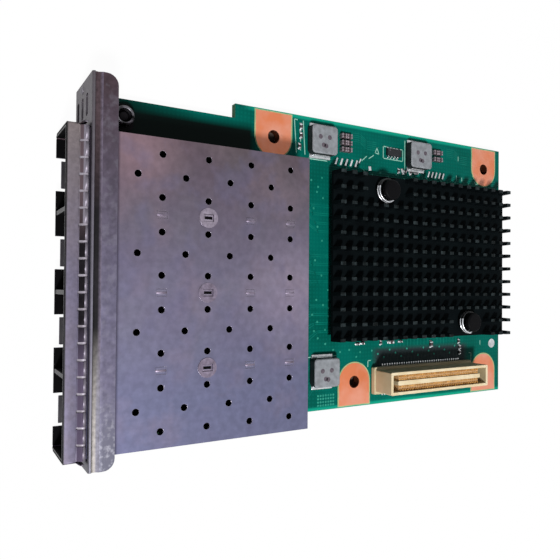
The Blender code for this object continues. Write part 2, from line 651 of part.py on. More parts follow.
def draw_out(bm, edges, step):
    """Extrudes free edges by a step and gives back the new free edges."""
    moved = bmesh.ops.extrude_edge_only(bm, edges=edges)["geom"]
    verts = [item for item in moved if isinstance(item, bmesh.types.BMVert)]
    bmesh.ops.translate(bm, verts=verts, vec=step)
    return [item for item in moved if isinstance(item, bmesh.types.BMEdge) and set(item.verts) <= set(verts)]


def build_collar():
    """A thin strip folded over the cage, with a plain band in front and bowed fingers behind it."""
    half = CAGE_HALF_WIDTH + GAP
    low, high = FLOOR_BOTTOM - GAP, CAGE_TOP + GAP
    straight = half - COLLAR_CORNER
    rise_low, rise_high = low + COLLAR_CORNER, high - COLLAR_CORNER
    across = finger_run(-straight, straight, FINGERS_ACROSS)
    upright = finger_run(rise_low, rise_high, FINGERS_UPRIGHT)
    # Along the strip from its left hem to its right one: the points, and the way that fingers bow there
    runs = (
        ([(-straight + COLLAR_HEM, low)] + arc(-straight, rise_low, COLLAR_CORNER, 270, 180)[:-1], None),
        ([(-half, z) for z in upright], (-1, 0)),
        (arc(-straight, rise_high, COLLAR_CORNER, 180, 90)[1:-1], None),
        ([(x, high) for x in across], (0, 1)),
        (arc(straight, rise_high, COLLAR_CORNER, 90, 0)[1:-1], None),
        ([(half, z) for z in reversed(upright)], (1, 0)),
        (arc(straight, rise_low, COLLAR_CORNER, 0, -90)[1:] + [(straight - COLLAR_HEM, low)], None),
    )
    band_back = CAGE_FRONT + COLLAR_SETBACK + COLLAR_BAND
    bm = bmesh.new()
    strip, fingers = [], []
    for points, outward in runs:
        if outward:
            fingers += [(len(strip) + index, outward) for index in range(0, len(points), 2)]
        strip += [bm.verts.new((x, band_back, z)) for x, z in points]
    line = [bm.edges.new(pair) for pair in zip(strip, strip[1:])]
    draw_out(bm, line, Vector((0.0, -COLLAR_BAND, 0.0)))

    # How far along its length, and how far out, each bend of a finger lies from the one before
    bends = ((0.35, 0.45), (0.27, 0.45), (0.20, 0.10), (0.18, -0.20))
    reach = -GAP - COLLAR_THICKNESS / 2 - band_back
    for start, outward in fingers:
        edges = [line[start]]
        for along, out in bends:
            rise = out * FINGER_BULGE
            edges = draw_out(bm, edges, Vector((outward[0] * rise, along * reach, outward[1] * rise)))
    collar = add_part("emi_collar", bm, SPRING_STEEL)
    sheet = collar.modifiers.new("Sheet", "SOLIDIFY")
    sheet.thickness = COLLAR_THICKNESS
    sheet.offset = 1.0
    sheet.use_even_offset = True


def build_port_connectors():
    low, high = GAP, GAP + PORT_CONNECTOR_HEIGHT
    front, back = PORT_CONNECTOR_FRONT, PORT_CONNECTOR_BACK
    nose, shoulder = PORT_CONNECTOR_HEIGHT / 6, PORT_CONNECTOR_DEPTH / 2
    # A chamfered nose, and a top that steps down behind the shoulder
    profile = (
        (front + nose, low),
        (back, low),
        (back, high - 2 * nose),
        (back - nose, high - nose),
        (front + shoulder, high - nose),
        (front + shoulder - nose, high),
        (front + nose, high),
        (front, high - nose),
        (front, low + nose),
    )
    for number, x in enumerate(PORT_XS, start=1):
        bm = bmesh.new()
        outline = [(x - PORT_CONNECTOR_WIDTH / 2, y, z) for y, z in profile]
        add_prism(bm, outline, Vector((PORT_CONNECTOR_WIDTH, 0.0, 0.0)))
        connector = add_part(f"port_connector_{number}", bm, BLACK_PLASTIC)
        slot = bmesh.new()
        add_box(
            slot,
            (x - CARD_SLOT_WIDTH / 2, front - nose, CARD_SLOT_Z - CARD_SLOT_HEIGHT / 2),
            (x + CARD_SLOT_WIDTH / 2, front + CARD_SLOT_DEPTH, CARD_SLOT_Z + CARD_SLOT_HEIGHT / 2),
        )
        combine(connector, f"card_slot_{number}", slot, "DIFFERENCE")


def grid_lines(centre, count, pitch, width):
    """Both edges of each of count strips, the width of a pin, side by side at the pitch."""
    first = centre - (count - 1) * pitch / 2
    return [first + index * pitch + half * width / 2 for index in range(count) for half in (-1, 1)]


def build_heatsink():
    """A grid of cells, raised to the base's thickness; then each pin's own cell is raised and drawn in."""
    xs = grid_lines(SINK_CENTRE_X, PIN_ROWS, PIN_ROW_PITCH, PIN_WIDTH)
    ys = grid_lines(SINK_CENTRE_Y, PIN_COLUMNS, PIN_COLUMN_PITCH, PIN_LENGTH)
    bm = bmesh.new()
    bmesh.ops.create_grid(bm, x_segments=len(xs) - 1, y_segments=len(ys) - 1, size=1.0)
    for vert in bm.verts:
        column = round((vert.co.x + 1.0) / 2.0 * (len(xs) - 1))
        row = round((vert.co.y + 1.0) / 2.0 * (len(ys) - 1))
        vert.co = (xs[column], ys[row], SINK_BOTTOM)
    raised = bmesh.ops.extrude_face_region(bm, geom=list(bm.faces))["geom"]
    verts = [item for item in raised if isinstance(item, bmesh.types.BMVert)]
    bmesh.ops.translate(bm, verts=verts, vec=(0.0, 0.0, SINK_BASE_THICKNESS))

    def carries_pin(face):
        centre = face.calc_center_median()
        if centre.z < SINK_BASE_TOP - GAP:
            return False
        sides = [edge.calc_length() for edge in face.edges]
        if abs(min(sides) - PIN_WIDTH) > GAP / 2 or abs(max(sides) - PIN_LENGTH) > GAP / 2:
            return False
        for x, y in PUSH_PINS.values():
            if abs(centre.x - x) <= PUSH_CLEAR_X and abs(centre.y - y) <= PUSH_CLEAR_Y:
                return False
        return True

    top_faces = [face for face in raised if isinstance(face, bmesh.types.BMFace)]
    pins = [face for face in top_faces if carries_pin(face)]
    raised = bmesh.ops.extrude_discrete_faces(bm, faces=pins)["faces"]
    for face in raised:
        bmesh.ops.translate(bm, verts=face.verts, vec=(0.0, 0.0, PIN_HEIGHT))
        centre = face.calc_center_median()
        for vert in face.verts:
            vert.co = centre + (vert.co - centre) * PIN_TIP_SHARE
    sink = add_part("heatsink", bm, BLACK_ANODISED)

    holes = bmesh.new()
    for x, y in PUSH_PINS.values():
        add_cylinder(holes, x, y, PUSH_HOLE_DIAMETER, SINK_BOTTOM - GAP, SINK_BASE_TOP + GAP)
    combine(sink, "sink_holes", holes, "DIFFERENCE")


def build_chip_stack():
    x, y = SINK_CENTRE_X, SINK_CENTRE_Y
    bm = bmesh.new()
    add_block(bm, x, y, CHIP_SIZE, CHIP_SIZE, CHIP_THICKNESS, GAP, GAP + CHIP_THICKNESS)
    chip = add_part("controller_chip", bm, CHIP_BLACK)
    die = bmesh.new()
    add_block(die, x, y, DIE_SIZE, DIE_SIZE, DIE_THICKNESS, GAP + CHIP_THICKNESS / 2, CHIP_TOP)
    combine(chip, "die", die, "UNION")

    bm = bmesh.new()
    add_block(bm, x, y, PAD_SIZE, PAD_SIZE, PAD_THICKNESS, PAD_BOTTOM, PAD_BOTTOM + PAD_THICKNESS)
    add_part("thermal_pad", bm, THERMAL_GREY)


def build_push_pins():
    """A headed shaft goes through heat sink and board to a barb below, with a coil spring under the head."""
    head, shaft, barb = PUSH_HEAD_DIAMETER / 2, PUSH_SHAFT_DIAMETER / 2, PUSH_BARB_DIAMETER / 2
    head_top = PUSH_HEAD_BOTTOM + PUSH_HEAD_HEIGHT
    barb_top = BOARD_BOTTOM - GAP
    rim = PUSH_HEAD_HEIGHT / 3
    profile = (
        (0.0, head_top),
        (head - rim, head_top),
        (head, head_top - rim),
        (head, PUSH_HEAD_BOTTOM),
        (shaft, PUSH_HEAD_BOTTOM),
        (shaft, barb_top),
        (barb, barb_top),
        (shaft / 2, PLATE_BOTTOM),
        (0.0, PLATE_BOTTOM),
    )
    for place, (x, y) in PUSH_PINS.items():
        add_turned(f"push_pin_{place}", profile, x, y, BLACK_PLASTIC)
        add_spring(f"push_pin_spring_{place}", x, y)


def add_spring(name, x, y):
    steps_per_turn = 12
    radius = (SPRING_DIAMETER - SPRING_WIRE) / 2
    curve = bpy.data.curves.new(name, "CURVE")
    curve.dimensions = "3D"
    curve.bevel_depth = SPRING_WIRE / 2
    curve.bevel_resolution = 2
    curve.use_fill_caps = True
    coil = curve.splines.new("POLY")
    coil.points.add(SPRING_TURNS * steps_per_turn)
    for index, point in enumerate(coil.points):
        angle = 2 * math.pi * index / steps_per_turn
        rise = SPRING_PITCH * index / steps_per_turn
        point.co = (radius * math.cos(angle), radius * math.sin(angle), SPRING_START + rise, 1.0)
    curve.materials.append(SPRING_STEEL)
    obj = bpy.data.objects.new(name, curve)
    PARTS.objects.link(obj)
    obj.parent = CARD
    obj.location = (x, y, 0.0)


def build_mezzanine_connector():
    """A shroud on a wider base, with a central blade that carries the contacts."""
    base_width, base_length = MEZZ_WIDTH + 2 * MEZZ_BASE_MARGIN, MEZZ_LENGTH + MEZZ_BASE_MARGIN
    floor, top = GAP + MEZZ_BASE_HEIGHT, GAP + MEZZ_HEIGHT
    bm = bmesh.new()
    add_block(bm, MEZZ_X, MEZZ_Y, base_width, base_length, MEZZ_CORNER, GAP, floor)
    housing = add_part("mezzanine_connector", bm, CREAM_PLASTIC)

    shroud = bmesh.new()
    add_block(shroud, MEZZ_X, MEZZ_Y, MEZZ_WIDTH, MEZZ_LENGTH, MEZZ_CORNER, floor - MEZZ_BASE_HEIGHT / 2, top)
    combine(housing, "shroud", shroud, "UNION")

    pocket = bmesh.new()
    half_width, half_length = MEZZ_WIDTH / 2 - MEZZ_WALL, MEZZ_LENGTH / 2 - MEZZ_WALL
    add_box(
        pocket,
        (MEZZ_X - half_width, MEZZ_Y - half_length, floor),
        (MEZZ_X + half_width, MEZZ_Y + half_length, top + MEZZ_WALL),
    )
    combine(housing, "pocket", pocket, "DIFFERENCE")

    blade = bmesh.new()
    blade_length = 2 * (half_length - TONGUE_BLADE_MARGIN)
    add_block(
        blade,
        MEZZ_X,
        MEZZ_Y,
        TONGUE_BLADE_THICKNESS,
        blade_length,
        TONGUE_BLADE_THICKNESS / 4,
        floor - MEZZ_BASE_HEIGHT / 2,
        top - TONGUE_BLADE_DROP,
    )
    combine(housing, "blade", blade, "UNION")


def build_inductors():
    for number, (x, y) in enumerate(INDUCTOR_CENTRES, start=1):
        bm = bmesh.new()
        add_block(bm, x, y, INDUCTOR_WIDTH, INDUCTOR_LENGTH, INDUCTOR_CORNER, GAP, GAP + INDUCTOR_HEIGHT)
        inductor = add_part(f"inductor_{number}", bm, MOULDED_GREY)
        soften(inductor, INDUCTOR_RIM, segments=2)


def build_capacitors():
    centres = [
        (x + offset, y + CAPACITOR_DISTANCE)
        for (x, y), offsets in zip(INDUCTOR_CENTRES, CAPACITOR_OFFSETS)
        for offset in offsets
    ]
    for number, (x, y) in enumerate(centres, start=1):
        bm = bmesh.new()
        corner = CAPACITOR_WIDTH / 6
        add_block(bm, x, y, CAPACITOR_WIDTH, CAPACITOR_LENGTH, corner, GAP, GAP + CAPACITOR_HEIGHT)
        add_part(f"capacitor_{number}", bm, CERAMIC_TAN)


def build_flash_chip():
    bm = bmesh.new()
    add_block(bm, FLASH_X, FLASH_Y, FLASH_WIDTH, FLASH_LENGTH, FLASH_HEIGHT / 6, GAP, GAP + FLASH_HEIGHT)
    chip = add_part("flash_chip", bm, CHIP_BLACK)
    legs = bmesh.new()
    reach = FLASH_WIDTH / 2 + FLASH_LEG_REACH
    low = GAP + FLASH_HEIGHT / 3
    for leg in range(FLASH_LEGS_PER_SIDE):
        y = FLASH_Y + (leg - (FLASH_LEGS_PER_SIDE - 1) / 2) * FLASH_LEG_PITCH
        add_box(
            legs,
            (FLASH_X - reach, y - FLASH_LEG_WIDTH / 2, low),
            (FLASH_X + reach, y + FLASH_LEG_WIDTH / 2, low + FLASH_LEG_THICKNESS),
        )
    combine(chip, "legs", legs, "UNION")


clear_scene()
PARTS = make_collection("mezzanine_network_card")
TOOLS = make_collection("cutters")
CARD = bpy.data.objects.new("card", None)
PARTS.objects.link(CARD)
CARD.location = (-ORIGIN_X, -ORIGIN_Y, -ORIGIN_Z)

GREEN_BOARD = make_material("green solder mask", (0.0, 0.27, 0.18), 0.35)
NICKEL_STEEL = make_material("nickel-plated steel", (0.30, 0.26, 0.27), 0.35, 1.0)
CAGE_STEEL = make_material("nickel-silver cage sheet", (0.38, 0.34, 0.40), 0.32, 1.0)
SPRING_STEEL = make_material("spring steel", (0.62, 0.60, 0.60), 0.28, 1.0)
BLACK_PLASTIC = make_material("black plastic", (0.012, 0.012, 0.014), 0.5)
BLACK_ANODISED = make_material("black anodised aluminium", (0.010, 0.012, 0.014), 0.45, 0.6)
CHIP_BLACK = make_material("epoxy chip package", (0.02, 0.02, 0.022), 0.6)
THERMAL_GREY = make_material("thermal pad", (0.35, 0.37, 0.40), 0.8)
CREAM_PLASTIC = make_material("cream liquid-crystal polymer", (0.78, 0.64, 0.42), 0.45)
MOULDED_GREY = make_material("moulded ferrite", (0.33, 0.32, 0.34), 0.55)
CERAMIC_TAN = make_material("ceramic capacitor", (0.28, 0.22, 0.17), 0.5)

build_board()
build_faceplate()
build_foot_fasteners()
build_cage_cover()
build_cage_floor()
build_dividers()
build_collar()
build_port_connectors()
build_heatsink()
build_chip_stack()
build_push_pins()
build_mezzanine_connector()
build_inductors()
build_capacitors()
build_flash_chip()
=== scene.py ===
"""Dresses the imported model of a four-port mezzanine network card for close, photographic views."""

import math

import bmesh
import bpy
from mathutils import Matrix, Vector


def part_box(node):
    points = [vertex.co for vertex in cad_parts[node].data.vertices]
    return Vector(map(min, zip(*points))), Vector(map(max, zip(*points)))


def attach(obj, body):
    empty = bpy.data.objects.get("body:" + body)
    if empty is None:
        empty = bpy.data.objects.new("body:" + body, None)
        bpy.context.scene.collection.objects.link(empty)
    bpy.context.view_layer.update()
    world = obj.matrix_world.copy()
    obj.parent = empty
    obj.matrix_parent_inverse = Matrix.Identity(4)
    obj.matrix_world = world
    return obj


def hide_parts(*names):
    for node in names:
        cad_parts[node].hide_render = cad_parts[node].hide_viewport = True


bl_info = {
    "name": "Mezzanine Network Card",
    "version": (1, 0, 0),
    "blender": (4, 5, 0),
    "location": "View3D > Sidebar > Network Card",
    "description": "Dresses the packed model of a four-port mezzanine network card",
    "category": "Object",
}

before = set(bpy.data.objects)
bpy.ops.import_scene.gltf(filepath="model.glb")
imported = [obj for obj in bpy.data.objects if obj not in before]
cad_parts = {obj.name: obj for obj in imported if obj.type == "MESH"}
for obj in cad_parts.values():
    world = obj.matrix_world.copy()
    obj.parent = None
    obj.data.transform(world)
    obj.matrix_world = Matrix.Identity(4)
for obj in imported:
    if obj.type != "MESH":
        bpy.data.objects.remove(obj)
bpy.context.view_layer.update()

MM = 0.001

# Sizes that the frame's boxes don't give by themselves
BOARD_THICKNESS = 1.6 * MM
SHEET = 0.3 * MM
EMBOSS_HEIGHT = 0.2 * MM

CAGE_LOW, CAGE_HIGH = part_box("cage_cover")
PLATE_LOW, PLATE_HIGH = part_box("faceplate")
MEZZ_LOW, MEZZ_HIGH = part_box("mezzanine_connector")
COLLAR_LOW, COLLAR_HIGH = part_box("emi_collar")
BOARD_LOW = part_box("pcb")[0]
SINK_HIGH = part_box("heatsink")[1]

# The card's own origin: the middle of the cage, the front of the faceplate and the top of the board
CARD = Vector(((CAGE_LOW.x + CAGE_HIGH.x) / 2, PLATE_LOW.y, BOARD_LOW.z + BOARD_THICKNESS))
CAGE_TOP = CAGE_HIGH.z - EMBOSS_HEIGHT
BOARD_TOP = CARD.z
BOARD_BOTTOM = BOARD_LOW.z

# Four ports side by side, with a divider between each pair, and the vents and tails in rows
PORTS = [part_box(f"port_connector_{number}") for number in range(1, 5)]
PORT_XS = [(low.x + high.x) / 2 for low, high in PORTS]
DIVIDERS = [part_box(f"cage_divider_{number}") for number in range(1, 4)]
DIVIDER_XS = [(low.x + high.x) / 2 for low, high in DIVIDERS]
FIRST_VENT = 13.0 * MM
VENT_PITCH = 9.1333 * MM
VENT_YS = [CARD.y + FIRST_VENT + VENT_PITCH * column for column in range(4)]
EMBOSSED_COLUMN = 1
FIRST_TAIL = 6.5 * MM
TAIL_PITCH = 8.9 * MM
SIDE_TAIL_YS = [CARD.y + FIRST_TAIL + TAIL_PITCH * tail for tail in range(5)]
DIVIDER_TAIL_YS = [CARD.y + y * MM for y in (11.0, 25.0, 36.2)]

# Mounting holes: two along the board's left edge, two in line with the connector
HOLE_INSET = 5.9 * MM
HOLE_RADIUS = 1.45 * MM
RIGHT_HOLE_X = (MEZZ_LOW.x + MEZZ_HIGH.x) / 2
LEFT_HOLE_X = BOARD_LOW.x + HOLE_INSET
RIGHT_EDGE_X = RIGHT_HOLE_X + HOLE_INSET
MOUNT_HOLES = [
    (LEFT_HOLE_X, CARD.y + 41.8 * MM, -1),
    (LEFT_HOLE_X, CARD.y + 109.5 * MM, -1),
    (RIGHT_HOLE_X, CARD.y + 64.6 * MM, 1),
    (RIGHT_HOLE_X, CARD.y + 109.5 * MM, 1),
]

# The camera fitted to the photograph, and how much of the floor's white is its own light
CAMERA_PLACE = Vector((3.9001, -78.4176, 115.9159)) * MM
CAMERA_RIGHT = Vector((-0.007745, 0.863459, 0.504359))
CAMERA_UP = Vector((-0.999879, -0.013486, 0.007734))
LENS = 37.742
FLOOR_GLOW = 0.97


def hex_colour(code):
    """Turns an sRGB colour such as #6f6a78 to linear red, green, blue and alpha."""
    shares = [int(code[place : place + 2], 16) / 255 for place in (1, 3, 5)]
    linear = [share / 12.92 if share <= 0.04045 else ((share + 0.055) / 1.055) ** 2.4 for share in shares]
    return (*linear, 1.0)


def on_card(x, y, z=0.0):
    """A point of the card given in millimetres from its own origin."""
    return CARD + Vector((x, y, z)) * MM


def reach(start, first, last):
    """Two places at distances in millimetres from a start."""
    return start + first * MM, start + last * MM


def colour_property(name, description, code):
    """A colour that a user may change."""
    limits = {"subtype": "COLOR", "size": 4, "min": 0.0, "max": 1.0, "default": hex_colour(code)}
    return bpy.props.FloatVectorProperty(name=name, description=description, **limits)


def length_property(name, description, millimetres):
    """A length that a user may change."""
    return bpy.props.FloatProperty(
        name=name, description=description, unit="LENGTH", min=0.0, precision=5, default=millimetres * MM
    )


class CardSizes(bpy.types.PropertyGroup):
    """Sizes of the small things that the CAD model leaves out."""

    sheet_round: length_property("Sheet edge", "Rounding of the cut edges of sheet metal", 0.07)
    steel_round: length_property("Faceplate edge", "Rounding of the faceplate's edges", 0.14)
    moulded_round: length_property("Moulded edge", "Rounding of moulded plastic edges", 0.12)
    pin_round: length_property("Heat sink edge", "Rounding of the heat sink's edges", 0.08)
    copper_rise: length_property("Copper", "Height of bare copper over the board", 0.10)
    ink_rise: length_property("Ink", "Height of the printed marks over the board", 0.03)
    ink_line: length_property("Ink line", "Width of a printed line", 0.2)
    trace_width: length_property("Trace", "Width of a trace under the solder mask", 0.2)
    contact_pitch: length_property("Contact pitch", "Distance between the connector's contacts", 0.8)
    spring_wire: length_property("Spring wire", "Thickness of the push pins' springs", 0.5)


class CardColours(bpy.types.PropertyGroup):
    """Colours of the card's finishes."""

    mask: colour_property("Solder mask", "Green lacquer on the board", "#006a5e")
    mask_deep: colour_property("Solder mask, deep", "Green lacquer where it lies thicker", "#005a4e")
    trace: colour_property("Trace", "Solder mask over copper", "#0b7f6e")
    laminate: colour_property("Laminate", "Cut edge of the board", "#2c5a3c")
    copper: colour_property("Copper", "Coated copper of the mounting pads", "#e08258")
    copper_pale: colour_property("Copper, pale", "Where the pads are handled", "#e49a80")
    ink: colour_property("Ink", "Printed marks", "#a9dccb")
    cage: colour_property("Cage", "Nickel plated sheet", "#6b667c")
    cage_shade: colour_property("Cage, painted shade", "Brown of the painted shade across the cage", "#57474a")
    plate: colour_property("Faceplate", "Plated steel", "#605c71")
    plate_shade: colour_property("Faceplate, painted shade", "Brown of the painted shade along the faceplate", "#3c2a2c")
    collar: colour_property("Collar", "Spring sheet", "#69647a")
    crest: colour_property("Finger crest", "Crests of the spring fingers, painted as a highlight", "#77717c")
    flank: colour_property("Finger flank", "Bends of the spring fingers, painted dark as shade", "#1c191d")
    anodised: colour_property("Heat sink", "Black anodised aluminium", "#080c0e")
    anodised_tip: colour_property("Pin tip", "Tips of the heat sink's pins, painted lighter as a highlight", "#2c3436")
    black: colour_property("Black plastic", "Moulded black plastic", "#08080a")
    cream: colour_property("Cream plastic", "Moulded cream plastic", "#cdbf9d")
    gold: colour_property("Gold", "Plated contacts", "#d09a50")
    tin: colour_property("Tin", "Solder and tinned leads", "#d6d8da")
    ferrite: colour_property("Ferrite", "Pressed body of the inductors", "#9b9fa4")
    ceramic: colour_property("Ceramic", "Body of the small capacitors", "#4b3d40")
    package: colour_property("Chip package", "Moulded epoxy", "#1b1c1f")
    floor: colour_property("Floor", "Paper under the card", "#fbfbfb")


def sizes():
    """The sizes that the sidebar shows."""
    return bpy.context.scene.card_sizes


def colour(code):
    """A colour by its name in the sidebar, or by its sRGB code."""
    return hex_colour(code) if code.startswith("#") else getattr(bpy.context.scene.card_colours, code)


def add_node(tree, kind, output, inputs, **settings):
    """Adds a node, applies its settings, fills or links its inputs, and gives back one of its outputs."""
    node = tree.nodes.new(f"ShaderNode{kind}")
    for name, value in settings.items():
        setattr(node, name, value)
    for name, value in inputs.items():
        if isinstance(value, bpy.types.NodeSocket):
            tree.links.new(value, node.inputs[name])
        else:
            node.inputs[name].default_value = value
    return None if output is None else node.outputs[output]


def empty_tree(owner):
    """The node tree of a new material or world, cleared."""
    owner.use_nodes = True
    owner.node_tree.nodes.clear()
    return owner.node_tree


class Finish:
    """A material whose colour drifts between two over clouds, with a grain that roughens it and dents it.
    Sizes are in millimetres. Its tints are laid one over another, each on what gives the colour so far."""

    def __init__(self, name, colours, cloud, grain, dent, roughness, stretch=(1, 1, 1), metal=0.0, gloss=0.5):
        self.material = bpy.data.materials.new(name)
        self.tree = empty_tree(self.material)
        self.place = self.add("TexCoord", "Object", {})
        tones = {0: self.clouds(cloud, 3.0, 0.35, 0.65), 6: colour(colours[0]), 7: colour(colours[1])}
        drawn = self.add("Mapping", "Vector", {"Vector": self.place, "Scale": stretch})
        grains = self.add("TexNoise", "Fac", {"Vector": drawn, "Scale": 1 / (grain * MM), "Detail": 4.0})
        levels = {"Value": grains, "To Min": roughness[0], "To Max": roughness[1]}
        bumps = {"Height": grains, "Distance": dent * MM, "Strength": 0.6}
        inputs = {
            "Base Color": self.add("Mix", 2, tones, data_type="RGBA"),
            "Roughness": self.add("MapRange", "Result", levels),
            "Normal": self.add("Bump", "Normal", bumps),
            "Metallic": metal,
            "Specular IOR Level": gloss,
        }
        surface = self.add("BsdfPrincipled", "BSDF", inputs)
        self.add("OutputMaterial", None, {"Surface": surface})
        self.base = surface.node.inputs["Base Color"]

    def add(self, kind, output, inputs, **settings):
        """Adds a node to the material."""
        return add_node(self.tree, kind, output, inputs, **settings)

    def recolour(self, kind, output, inputs, **settings):
        """Puts a node between the shader and what gives its colour; None in inputs stands for that colour."""
        before = self.base.links[0].from_socket
        filled = {name: before if value is None else value for name, value in inputs.items()}
        self.tree.links.new(self.add(kind, output, filled, **settings), self.base)

    def blend(self, share, tint):
        """Turns the colour towards another by a share."""
        other = colour(tint) if isinstance(tint, str) else tint
        self.recolour("Mix", 2, {0: share, 6: None, 7: other}, data_type="RGBA")

    def clouds(self, size, detail, start, end, least=0.0, most=1.0):
        """Blotches of a size, which go from least to most where the noise goes from start to end."""
        texture = {"Vector": self.place, "Scale": 1 / (size * MM), "Detail": detail}
        noise = self.add("TexNoise", "Fac", texture)
        span = {"Value": noise, "From Min": start, "From Max": end, "To Min": least, "To Max": most}
        return self.add("MapRange", "Result", span)

    def ramp(self, start, end, axis="X", most=1.0):
        """A rise along an axis, from nothing at the start to most at the end."""
        along = self.add("SeparateXYZ", axis, {"Vector": self.place})
        span = {"Value": along, "From Min": start, "From Max": end, "To Max": most}
        return self.add("MapRange", "Result", span)

    def tint_across(self, start, end, codes, cover):
        """Lays a gradient of two colours along X over the finish."""
        tones = {0: self.ramp(start, end), 6: colour(codes[0]), 7: colour(codes[1])}
        self.blend(cover, self.add("Mix", 2, tones, data_type="RGBA"))

    def tint_over(self, start, end, code, axis="X", cover=1.0):
        """Turns the finish towards a colour along an axis, from nothing at the start to cover at the end."""
        self.blend(self.ramp(start, end, axis, cover), code)

    def tint_round(self, centre, radius, code, cover):
        """Turns the finish towards a colour round a point, fading out at the radius."""
        away = self.add("VectorMath", "Value", {0: self.place, 1: centre}, operation="DISTANCE")
        fade = {"Value": away, "From Min": radius * MM, "From Max": 0.0, "To Max": cover}
        self.blend(self.add("MapRange", "Result", fade, interpolation_type="SMOOTHSTEP"), code)

    def tint_box(self, x, y, half, fade, code):
        """Turns the finish towards a colour inside a rectangle about a point of the card. half and fade are
        pairs: its half lengths along X and Y, and how far it fades out beyond them."""
        offset = self.add("VectorMath", "Vector", {0: self.place, 1: on_card(x, y)}, operation="SUBTRACT")
        away = self.add("VectorMath", "Vector", {0: offset}, operation="ABSOLUTE")
        shares = {}
        for number, (axis, inner, beyond) in enumerate(zip("XY", half, fade)):
            along = self.add("SeparateXYZ", axis, {"Vector": away})
            edge = {"Value": along, "From Min": (inner + beyond) * MM, "From Max": inner * MM}
            shares[number] = self.add("MapRange", "Result", edge)
        self.blend(self.add("Math", "Value", shares, operation="MULTIPLY"), code)

    def tint_patches(self, size, code, cover):
        """Turns the finish towards a colour in patches of about a size."""
        self.blend(self.clouds(size, 5.0, 0.5, 0.66, most=cover), code)

    def vary_level(self, size, least, most):
        """Lightens and darkens the finish in blotches of a size."""
        level = self.clouds(size, 6.0, 0.35, 0.7, least, most)
        self.recolour("HueSaturation", "Color", {"Color": None, "Value": level})

    def paint_connector_shadow(self):
        """Painted shadow that the connector casts on the board beside its contacts."""
        self.tint_box(16.3, 86.8, (1.9, 15), (1.2, 2), "#2c393b")

    def paint_mouth_shade(self):
        """Painted shade that turns the rims of the ports' mouths nearly black."""
        self.tint_over(*reach(COLLAR_LOW.y, 0.2, 0.08), "#0b0a0c", "Y", 0.9)


def solder_mask():
    """Green lacquer over glass laminate: the cloth shows faintly, painted shadows make it nearly black under
    and beside the cage and round the front corner, and darken it beside the connector's contacts, and the
    sawn edge is bare and duller."""
    made = Finish(
        "Green solder mask on glass laminate, painted shadows", ("mask", "mask_deep"), 9, 0.4, 0.01, (0.36, 0.55), gloss=0.05
    )
    cloth = 0.9 * MM  # drawn coarser than real cloth, so that it shows
    bands = 3.2  # that a wave texture draws over a length of one, at a scale of one
    threads = {"Vector": made.place, "Scale": 1 / cloth / bands, "Distortion": 0.6, "Detail": 1.0}
    weave = {number: made.add("TexWave", "Fac", threads, bands_direction="XY"[number]) for number in range(2)}
    cross = made.add("Math", "Value", weave, operation="MULTIPLY")
    made.blend(made.add("MapRange", "Result", {"Value": cross, "To Max": 0.3}), "trace")
    for x, y in ((-40.3, 74.0), (27.2, 81.0)):
        made.tint_box(x, y, (0.3, 36), (0.5, 4), "#12a186")
    # Painted shadow: the mask turns nearly black under the cage and on the strip beside it
    made.tint_box(0, 0, (35, 35.8), (2.4, 2.4), "#000907")
    made.paint_connector_shadow()
    # Painted shade round the board's front corner, by the foot and the nut
    made.tint_round(on_card(-38.5, 2), 26, "#010d0b", 1.0)
    up = made.add("SeparateXYZ", "Z", {"Vector": made.add("NewGeometry", "Normal", {})})
    level = made.add("Math", "Value", {0: up}, operation="ABSOLUTE")
    made.blend(made.add("Math", "Value", {0: level, 1: 0.5}, operation="LESS_THAN"), "laminate")
    return made


def mask_over_copper():
    """The same lacquer over copper, which is lighter and smoother, with the connector's painted shadow."""
    made = Finish("Green solder mask over copper, painted shadow", ("trace", "mask"), 3, 0.3, 0.004, (0.3, 0.45), gloss=0.1)
    made.paint_connector_shadow()
    return made


def coated_copper():
    """Bare copper under a clear coating: orange, dulled in clouds, with a fine grain."""
    return Finish(
        "Coated copper", ("copper", "copper_pale"), 5, 0.25, 0.006, (0.38, 0.6), metal=0.35, gloss=0.3
    )


def bare_rim():
    """The window in the solder mask round a pad, where the pale laminate shows."""
    return Finish("Pale bare laminate", ("#b9c792", "#8fb98a"), 2, 0.2, 0.004, (0.5, 0.7), gloss=0.2)


def shaded_barrel():
    """Inside of the mounting holes: the same copper, painted dark brown as shade."""
    return Finish("Copper barrel in painted shade", ("#542a1a", "#38190e"), 1.5, 0.2, 0.004, (0.5, 0.7), gloss=0.1)


def lit_via():
    """Plated holes filled with mask: a light ring of copper under thin lacquer."""
    return Finish("Thin mask over a via", ("#37a38c", "#1f8a76"), 0.8, 0.15, 0.003, (0.35, 0.5), gloss=0.2)


def printed_ink():
    """Epoxy marking ink: matt, slightly broken up where it went on thin."""
    return Finish("Pale marking ink", ("ink", "#8fcdb8"), 0.6, 0.15, 0.004, (0.6, 0.8), gloss=0.15)


